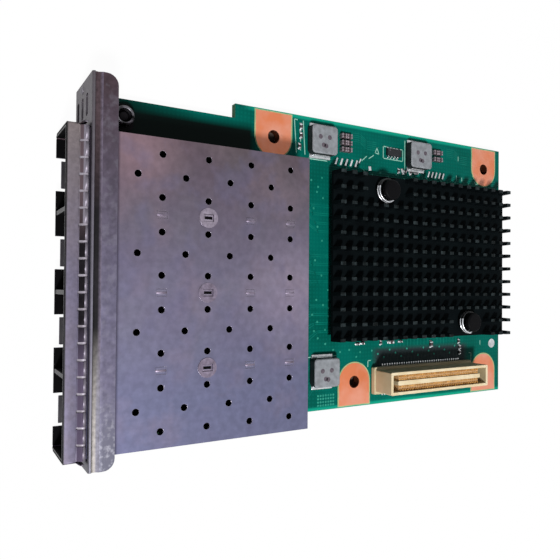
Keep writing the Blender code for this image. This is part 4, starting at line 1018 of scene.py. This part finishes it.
class CARD_OT_collar(bpy.types.Operator):
    """Bends the collar of spring fingers round the cage's mouth"""

    bl_idname = "network_card.collar"
    bl_label = "Spring-finger collar"

    def execute(self, context):
        sheet, corner, band = 0.2 * MM, 0.3 * MM, 2.0 * MM
        slot = 0.45 * MM  # between two fingers
        hem = 1.4 * MM  # turned in under the cage
        bulge = 0.65 * MM  # of the fingers out from the band
        middle = (COLLAR_LOW.x + COLLAR_HIGH.x) / 2
        half = (COLLAR_HIGH.x - COLLAR_LOW.x) / 2 - bulge - sheet / 2
        top = COLLAR_HIGH.z - bulge - sheet / 2
        bottom = CARD.z + 0.1 * MM
        # How far along a finger each bend lies and how far out, in millimetres, and the finish up to it: 1 is
        # the bends' painted shade, 2 the crests' painted highlight
        profile = [
            (0.2, 0.06, 0), (0.45, 0.25, 1), (0.7, 0.45, 1), (0.93, 0.585, 1), (1.06, 0.625, 1),
            (1.25, 0.645, 2), (1.38, 0.61, 2), (1.5, 0.535, 2),
        ]
        bm = bmesh.new()
        path = [(-half + hem, bottom), (-half + corner, bottom), (-half, bottom + corner)]
        path.append((-half, top - corner))
        path += arc(-half + corner, top - corner, corner, 180, 90, 4)[1:]
        path += [(-x, z) for x, z in reversed(path)]
        verts = [bm.verts.new((middle + x, COLLAR_LOW.y, z)) for x, z in path]
        edges = [bm.edges.new(pair) for pair in zip(verts, verts[1:])]
        moved = only_verts(bmesh.ops.extrude_edge_only(bm, edges=edges)["geom"])
        bmesh.ops.translate(bm, verts=moved, vec=(0.0, band, 0.0))

        def add_finger(first, second, outward, below=0.0, lining=None):
            """One finger from the band's rear edge, between two points, or a lining below the fingers."""
            rear = COLLAR_LOW.y + band
            ends = [Vector((middle + x, rear, z)) - outward * below for x, z in (first, second)]
            edge = bm.edges.new([bm.verts.new(end) for end in ends])
            along, out = 0.0, 0.0
            for distance, rise, material in profile:
                if lining is not None:
                    material = lining
                # Past their bend, the fingers at the far end take the crests' painted highlight
                elif distance > 0.9 and first[0] < -12 * MM:
                    material = 2
                grown = bmesh.ops.extrude_edge_only(bm, edges=[edge])["geom"]
                tips = only_verts(grown)
                step = Vector((0.0, distance - along, 0.0)) + outward * (rise - out)
                bmesh.ops.translate(bm, verts=tips, vec=step * MM)
                for item in grown:
                    if isinstance(item, bmesh.types.BMFace):
                        item.material_index = material
                    elif isinstance(item, bmesh.types.BMEdge) and all(vert in tips for vert in item.verts):
                        edge = item
                along, out = distance, rise

        def finger_ends(low, high, count):
            """The two ends of each of count fingers, with slots between them."""
            pitch = (high - low + slot) / count
            return [(low + pitch * finger, low + pitch * finger + pitch - slot) for finger in range(count)]

        straight, up = half - corner, Vector((0.0, 0.0, 1.0))
        for a, b in finger_ends(-straight, straight, 20):
            add_finger((a, top), (b, top), up)
        for a, b in finger_ends(bottom + corner, top - corner, 3):
            add_finger((-half, a), (-half, b), Vector((-1.0, 0.0, 0.0)))
            add_finger((half, b), (half, a), Vector((1.0, 0.0, 0.0)))
        add_finger((-straight, top), (straight, top), up, sheet + 0.02 * MM, 3)
        bmesh.ops.remove_doubles(bm, verts=bm.verts, dist=0.001 * MM)
        makers = (spring_sheet, bend_shade, crest_highlight, liner_highlight)
        piece = build_piece("spring_finger_collar", bm, makers, ("emi_collar",))
        thickness = piece.modifiers.new("sheet thickness", "SOLIDIFY")
        thickness.thickness = sheet
        thickness.offset = 0.0
        # Each face's inner side takes the next finish, so the band's inside takes the bends' painted shade
        thickness.material_offset = 1
        piece.modifiers.move(len(piece.modifiers) - 1, 0)
        return {"FINISHED"}


class CARD_OT_faceplate(bpy.types.Operator):
    """Rounds the faceplate and its foot, and adds the rivet and the fasteners"""

    bl_idname = "network_card.faceplate"
    bl_label = "Faceplate and fasteners"

    def execute(self, context):
        metals = (plated_steel, worn_steel_highlight, rolled_crease, foot_shade_steel)
        near, far = reach(PLATE_LOW.y, 0.4, 1.9)

        # The foot takes painted shade
        def on_foot(middle, normal):
            """Whether a face belongs to the foot on the board."""
            return middle.z < PLATE_HIGH.z - 8 * MM and middle.y > PLATE_LOW.y + 0.9 * MM

        # The crease's faces take its painted shade and highlight
        def in_crease(middle, normal):
            """Whether a face belongs to the crease along the bend."""
            sunk = 0.05 * MM < PLATE_HIGH.z - middle.z < 0.4 * MM
            return sunk and normal.z > 0.2 and near < middle.y < far

        paint, offset = [(3, on_foot), (2, in_crease)], sizes().steel_round
        dress_node("faceplate", "steel_faceplate", offset, metals, "plated_steel", 2, 1, paint, 22.0)
        dress_node("bezel_nut", "clinch_nut", 0.12 * MM, (machine_steel,), "plated_steel")
        dress_node("bezel_screw", "foot_screw", 0.06 * MM, (foot_shade_steel,), "plated_steel")

        bm = bmesh.new()
        centre = on_card(-36.7, 0.0, 3.0)
        matrix = Matrix.Translation(centre) @ Matrix.Rotation(math.pi / 2, 4, "X")
        dome = {"u_segments": 20, "v_segments": 12, "radius": 0.75 * MM, "matrix": matrix}
        made = bmesh.ops.create_uvsphere(bm, **dome)["verts"]
        bmesh.ops.scale(bm, vec=(1.0, 0.45, 1.0), verts=made, space=Matrix.Translation(-centre))
        make_piece("plate_rivet", bm, (worn_steel_highlight,))
        return {"FINISHED"}


class CARD_OT_port_connectors(bpy.types.Operator):
    """Rounds the receptacles at the back of the ports and fills their slots with contacts"""

    bl_idname = "network_card.port_connectors"
    bl_label = "Port connectors"

    def execute(self, context):
        contacts = 10
        for number, (low, high) in enumerate(PORTS, start=1):
            names = (f"port_connector_{number}", f"port_receptacle_{number}")
            dress_node(*names, 0.15 * MM, (black_plastic,), "black_plastic")
            bm = bmesh.new()
            for place in range(contacts):
                x = (low.x + high.x) / 2 + (place - (contacts - 1) / 2) * sizes().contact_pitch
                for z in (2.9, 4.3):
                    add_slab(bm, (x, low.y + 3.05 * MM, CARD.z + z * MM), (0.16, 2.75), (-0.08, 0.08), 0.03)
                add_slab(bm, (x, high.y + 0.4 * MM, BOARD_TOP), (0.16, 0.5), (0, 0.15), 0.03, 1)
            build_piece(f"port_contacts_{number}", bm, (plated_gold, tin_solder))
        return {"FINISHED"}


class CARD_OT_heatsink(bpy.types.Operator):
    """Rounds the heat sink, and finishes the chip and the pad under it"""

    bl_idname = "network_card.heatsink"
    bl_label = "Heat sink and chip"

    def execute(self, context):
        # The pins' top faces take a painted highlight
        tips = [(1, lambda middle, normal: normal.z > 0.9 and middle.z > SINK_HIGH.z - 0.05 * MM)]
        makers = (black_anodised, pin_tip_highlight)
        dress_node("heatsink", "pin_fin_heatsink", sizes().pin_round, makers, "black_anodised", 1, paint=tips)
        dress_node("controller_chip", "controller_package", 0.06 * MM, (chip_epoxy,), "chip_package")
        dress_node("thermal_pad", "thermal_sheet", 0.06 * MM, (thermal_putty,), "thermal_pad")
        return {"FINISHED"}


class CARD_OT_push_pins(bpy.types.Operator):
    """Rounds the two push pins and winds their springs"""

    bl_idname = "network_card.push_pins"
    bl_label = "Push pins and springs"

    def execute(self, context):
        wire = sizes().spring_wire / 2
        turns, steps = 2, 72
        for end in ("front", "rear"):
            names = (f"push_pin_{end}", f"push_pin_body_{end}")
            dress_node(*names, 0.16 * MM, (black_plastic,), "black_plastic", 3)
            low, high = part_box(f"push_pin_spring_{end}")
            centre = (low + high) / 2
            radius = (high.x - low.x) / 2 - wire
            start = Vector((centre.x + radius, centre.y, low.z + wire))
            matrix = Matrix.Translation(start) @ Matrix.Rotation(math.pi / 2, 4, "X")
            bm = bmesh.new()
            circle = {"cap_ends": True, "segments": 10, "radius": wire, "matrix": matrix}
            ring = bmesh.ops.create_circle(bm, **circle)["verts"]
            rise = high.z - low.z - 2 * wire
            bmesh.ops.spin(
                bm, geom=ring + list(bm.edges) + list(bm.faces), cent=(centre.x, centre.y, start.z),
                axis=(0.0, 0.0, 1.0), dvec=(0.0, 0.0, rise / steps), angle=2 * math.pi * turns, steps=steps,
            )
            # The coil's side away from the light takes the wire's shaded copy as painted shade
            paint_faces(bm, [(1, lambda middle, normal: middle.x < centre.x - 0.35 * radius)])
            wires = (spring_wire, shaded_wire)
            build_piece(f"coil_spring_{end}", bm, wires, (f"push_pin_spring_{end}",))
        return {"FINISHED"}


class CARD_OT_mezzanine(bpy.types.Operator):
    """Rounds the board-to-board connector and lines its channels with contacts"""

    bl_idname = "network_card.mezzanine"
    bl_label = "Board-to-board connector"

    def execute(self, context):
        # The housing's top faces take a painted highlight
        tops = [(1, lambda middle, normal: normal.z > 0.6 and middle.z > MEZZ_HIGH.z - 0.6 * MM)]
        names = ("mezzanine_connector", "board_to_board_housing")
        dress_node(*names, sizes().moulded_round, (cream_plastic, cream_rim_highlight), "cream_plastic", paint=tops)
        pitch, count = sizes().contact_pitch, 34
        middle = (MEZZ_LOW + MEZZ_HIGH) / 2
        floor_z, top_z = BOARD_TOP + 1.5 * MM, MEZZ_HIGH.z
        wall, blade = 2.0, 0.55  # from the connector's middle, in millimetres
        bm = bmesh.new()
        for side in (-1, 1):
            for place in range(count):
                y = middle.y + (place - (count - 1) / 2) * pitch
                for near, far, top in ((wall, wall - 0.6, 0.5), (blade, blade + 0.5, 0.65)):
                    corner = (middle.x + side * near * MM, y - 0.27 * MM, floor_z)
                    opposite = (middle.x + side * far * MM, y + 0.27 * MM, top_z - top * MM)
                    add_block(bm, corner, opposite, 0.1 * MM)
                tail = (middle.x + side * 3.6 * MM, y, BOARD_TOP)
                add_slab(bm, tail, (0.3, 0.17), (0, 0.18), 0.04, 1)
            corner = (middle.x + side * wall * MM, middle.y - count * pitch / 2, floor_z)
            opposite = (middle.x + side * blade * MM, middle.y + count * pitch / 2, top_z - 0.75 * MM)
            add_block(bm, corner, opposite, 0.05 * MM, 2)
        build_piece("board_to_board_contacts", bm, (plated_gold, tin_solder, amber_insulator))
        return {"FINISHED"}


class CARD_OT_inductors(bpy.types.Operator):
    """Rounds the power inductors, and adds their terminals and the dots on their tops"""

    bl_idname = "network_card.inductors"
    bl_label = "Inductors"

    def execute(self, context):
        # The tops keep the ferrite's colour; the sides take painted shade
        light_tops = [(0, lambda middle, normal: normal.z > 0.3), (1, lambda middle, normal: True)]
        for number in range(1, 4):
            node, name = f"inductor_{number}", f"power_inductor_{number}"
            makers = (pressed_ferrite, inductor_side_shade)
            dress_node(node, name, 0.22 * MM, makers, "moulded_ferrite", 3, paint=light_tops)
            low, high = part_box(node)
            middle = (low + high) / 2
            bm = bmesh.new()
            for x, y in ((-0.5, -1.45), (-0.55, 1.05), (1.35, -0.6), (1.5, 0.1)):
                dot = middle + Vector((x, y, 0.0)) * MM
                add_round(bm, dot, 0.56 * MM, *reach(high.z, -0.02, 0.012), 14)
            build_piece(f"inductor_dots_{number}", bm, (dark_mark,))
            bm = bmesh.new()
            for side, edge in ((-1, low.x), (1, high.x)):
                # The terminal's foot on the board, and the part that rises along the body
                for out, half, rise, offset in (
                    (0.075, (0.675, 2.9), (0, 0.3), 0.12), (0.125, (0.125, 2.2), (0.2, 1.3), 0.1)
                ):
                    place = (edge + side * out * MM, middle.y, BOARD_TOP)
                    add_slab(bm, place, half, rise, offset, segments=2)
            build_piece(f"inductor_terminals_{number}", bm, (tin_solder,))
        return {"FINISHED"}


class CARD_OT_capacitors(bpy.types.Operator):
    """Gives the ceramic capacitors their tinned ends"""

    bl_idname = "network_card.capacitors"
    bl_label = "Capacitors"

    def execute(self, context):
        for number in range(1, 6):
            node = f"capacitor_{number}"
            low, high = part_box(node)
            slim, short = (high.x - low.x - 0.1 * MM) / 2, (high.y - low.y - 0.15 * MM) / 2
            end = short * 0.3
            bm = bmesh.new()
            for left in (low.x, high.x - slim):
                for near in (low.y, high.y - short):
                    corner = (left + 0.02 * MM, near + end * 0.8, BOARD_TOP + 0.1 * MM)
                    opposite = (left + slim - 0.02 * MM, near + short - end * 0.8, high.z - 0.03 * MM)
                    add_block(bm, corner, opposite, 0.03 * MM)
                    for start in (near, near + short - end):
                        corner = (left, start, BOARD_TOP + 0.02 * MM)
                        add_block(bm, corner, (left + slim, start + end, high.z), 0.06 * MM, 1, segments=2)
            build_piece(f"ceramic_capacitor_{number}", bm, (fired_ceramic, fired_ends), (node,))
        return {"FINISHED"}


class CARD_OT_flash_chip(bpy.types.Operator):
    """Moulds the eight-legged chip and bends its legs"""

    bl_idname = "network_card.flash_chip"
    bl_label = "Eight-legged chip"

    def execute(self, context):
        low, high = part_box("flash_chip")
        middle = (low + high) / 2
        legs = Vector((0.5, 0.0, 0.0)) * MM  # how far they reach beyond the body
        bm = bmesh.new()
        add_block(bm, low + legs, high - legs, 0.1 * MM, segments=2)
        for place in range(4):
            y = middle.y + (place - 1.5) * MM
            for side, root in ((-1, low.x + legs.x), (1, high.x - legs.x)):
                # Each run of a leg: from where to where out of the body, and its lowest and highest places
                for near, far, bottom, top in (
                    (-0.05, 0.17, 0.42, 0.55), (0.17, 0.27, 0.06, 0.55), (0.17, 0.5, 0.02, 0.14)
                ):
                    corner = (root + side * near * MM, y - 0.2 * MM, BOARD_TOP + bottom * MM)
                    opposite = (root + side * far * MM, y + 0.2 * MM, BOARD_TOP + top * MM)
                    add_block(bm, corner, opposite, 0.02 * MM, 1)
        dot = low + legs + Vector((0.5, 0.6, 0.0)) * MM
        add_round(bm, dot, 0.18 * MM, *reach(high.z, -0.01, 0.01), 12, material=2)
        makers = (chip_epoxy, tin_solder, dark_mark)
        build_piece("eight_legged_chip", bm, makers, ("flash_chip",))
        return {"FINISHED"}


class CARD_OT_underside(bpy.types.Operator):
    """Solders the cage's tails on the underside of the board"""

    bl_idname = "network_card.underside"
    bl_label = "Underside solder"

    def execute(self, context):
        side_xs = (CAGE_LOW.x + SHEET / 2, CAGE_HIGH.x - SHEET / 2)
        tails = [(x, y) for x in side_xs for y in SIDE_TAIL_YS]
        tails += [(x, y) for x in DIVIDER_XS for y in DIVIDER_TAIL_YS]
        cone = [(0.0, 0.1), (1.1, 0.1), (1.1, -0.03), (0.8, -0.12), (0.5, -0.4), (0.0, -0.55)]
        bm = bmesh.new()
        for tail in tails:
            add_turned(bm, tail, [(radius * MM, BOARD_BOTTOM + z * MM) for radius, z in cone], 14)
        build_piece("tail_solder", bm, (tin_solder,))
        return {"FINISHED"}


class CARD_OT_stage(bpy.types.Operator):
    """Sets the floor, the lights and the camera"""

    bl_idname = "network_card.stage"
    bl_label = "Stage"

    def execute(self, context):
        context.scene.view_settings.view_transform = "Standard"
        self.set_world(context.scene)
        self.set_floor()
        self.add_light("key", (0.34, -0.20, 0.58), 0.10, 4.7)
        self.add_light("fill", (0.1, -0.55, 0.35), 0.30, 0.2)
        self.set_camera(context.scene)
        return {"FINISHED"}

    def show_white(self, tree, shader, kind, share):
        """Shows a share of plain white to the camera, to reflections and to see-through rays. The shader
        alone gives light."""
        seen = 0.0
        for ray in ("Is Camera Ray", "Is Glossy Ray", "Is Transmission Ray"):
            either = {0: seen, 1: add_node(tree, "LightPath", ray, {})}
            seen = add_node(tree, "Math", "Value", either, operation="MAXIMUM")
        part = add_node(tree, "Math", "Value", {0: seen, 1: share}, operation="MULTIPLY")
        white = add_node(tree, kind, 0, {"Color": (1.0, 1.0, 1.0, 1.0), "Strength": 1.0})
        return add_node(tree, "MixShader", "Shader", {"Fac": part, 1: shader, 2: white})

    def set_world(self, scene):
        """A faint blue light from all round, which looks white."""
        scene.world = bpy.data.worlds.new("studio")
        tree = empty_tree(scene.world)
        light = add_node(tree, "Background", 0, {"Color": (0.86, 0.9, 1.0, 1.0), "Strength": 0.11})
        add_node(tree, "OutputWorld", None, {"Surface": self.show_white(tree, light, "Background", 1.0)})

    def set_floor(self):
        """Pale paper, and a darker sheet under the card where the paper lies in its shade."""
        floors = (
            ("floor", "Pale paper floor", colour("floor"), (-1.5, -1.5), (1.5, 1.5), -0.2),
            ("floor_under_card", "Paper in the card's shade", hex_colour("#7c6e66"),
             on_card(-39.5, 36.0), on_card(26.4, 114.0), -0.15),
        )
        for name, title, tone, low, high, z in floors:
            material = bpy.data.materials.new(title)
            tree = empty_tree(material)
            shader = add_node(tree, "BsdfDiffuse", "BSDF", {"Color": tone, "Roughness": 1.0})
            if name == "floor":
                shader = self.show_white(tree, shader, "Emission", FLOOR_GLOW)
            add_node(tree, "OutputMaterial", None, {"Surface": shader})
            corners = [(low[0], low[1]), (high[0], low[1]), (high[0], high[1]), (low[0], high[1])]
            mesh = bpy.data.meshes.new(name)
            mesh.from_pydata([(x, y, z * MM) for x, y in corners], [], [(0, 1, 2, 3)])
            mesh.materials.append(material)
            floor = bpy.data.objects.new(name, mesh)
            bpy.context.scene.collection.objects.link(floor)

    def add_light(self, name, place, size, power):
        """A round soft lamp that looks at the card."""
        light = bpy.data.lights.new(name, "AREA")
        light.shape = "DISK"
        light.size = size
        light.energy = power
        lamp = bpy.data.objects.new(name, light)
        lamp.location = place
        lamp.rotation_euler = (-Vector(place)).to_track_quat("-Z", "Y").to_euler()
        bpy.context.scene.collection.objects.link(lamp)

    def set_camera(self, scene):
        """The photograph's camera."""
        data = bpy.data.cameras.new("camera")
        data.sensor_width = 36.0
        data.lens = LENS
        data.clip_start = 1 * MM
        camera = bpy.data.objects.new("camera", data)
        axes = (CAMERA_RIGHT, CAMERA_UP, CAMERA_RIGHT.cross(CAMERA_UP))
        camera.matrix_world = Matrix.Translation(CAMERA_PLACE) @ Matrix(axes).transposed().to_4x4()
        scene.collection.objects.link(camera)
        scene.camera = camera


OPERATORS = (
    CARD_OT_board, CARD_OT_traces, CARD_OT_marks, CARD_OT_small_parts, CARD_OT_cage, CARD_OT_collar,
    CARD_OT_faceplate, CARD_OT_port_connectors, CARD_OT_heatsink, CARD_OT_push_pins, CARD_OT_mezzanine,
    CARD_OT_inductors, CARD_OT_capacitors, CARD_OT_flash_chip, CARD_OT_underside, CARD_OT_stage,
)


class CARD_PT_sidebar(bpy.types.Panel):
    """Lists the card's sizes, colours and pieces."""

    bl_idname = "CARD_PT_sidebar"
    bl_label = "Network Card"
    bl_space_type = "VIEW_3D"
    bl_region_type = "UI"
    bl_category = "Network Card"

    def draw(self, context):
        for group in (context.scene.card_sizes, context.scene.card_colours):
            box = self.layout.box()
            for name in group.__annotations__:
                box.prop(group, name)
        for operator in OPERATORS:
            self.layout.operator(operator.bl_idname)


CLASSES = (CardSizes, CardColours, *OPERATORS, CARD_PT_sidebar)


def register():
    """Registers the classes and hangs the sizes and colours on the scene."""
    for each in CLASSES:
        bpy.utils.register_class(each)
    bpy.types.Scene.card_sizes = bpy.props.PointerProperty(type=CardSizes)
    bpy.types.Scene.card_colours = bpy.props.PointerProperty(type=CardColours)


def unregister():
    """Takes away what register added."""
    del bpy.types.Scene.card_sizes
    del bpy.types.Scene.card_colours
    for each in reversed(CLASSES):
        bpy.utils.unregister_class(each)


def main():
    """Runs every step in order."""
    register()
    for operator in OPERATORS:
        group, name = operator.bl_idname.split(".")
        getattr(getattr(bpy.ops, group), name)()


if __name__ == "__main__":
    main()
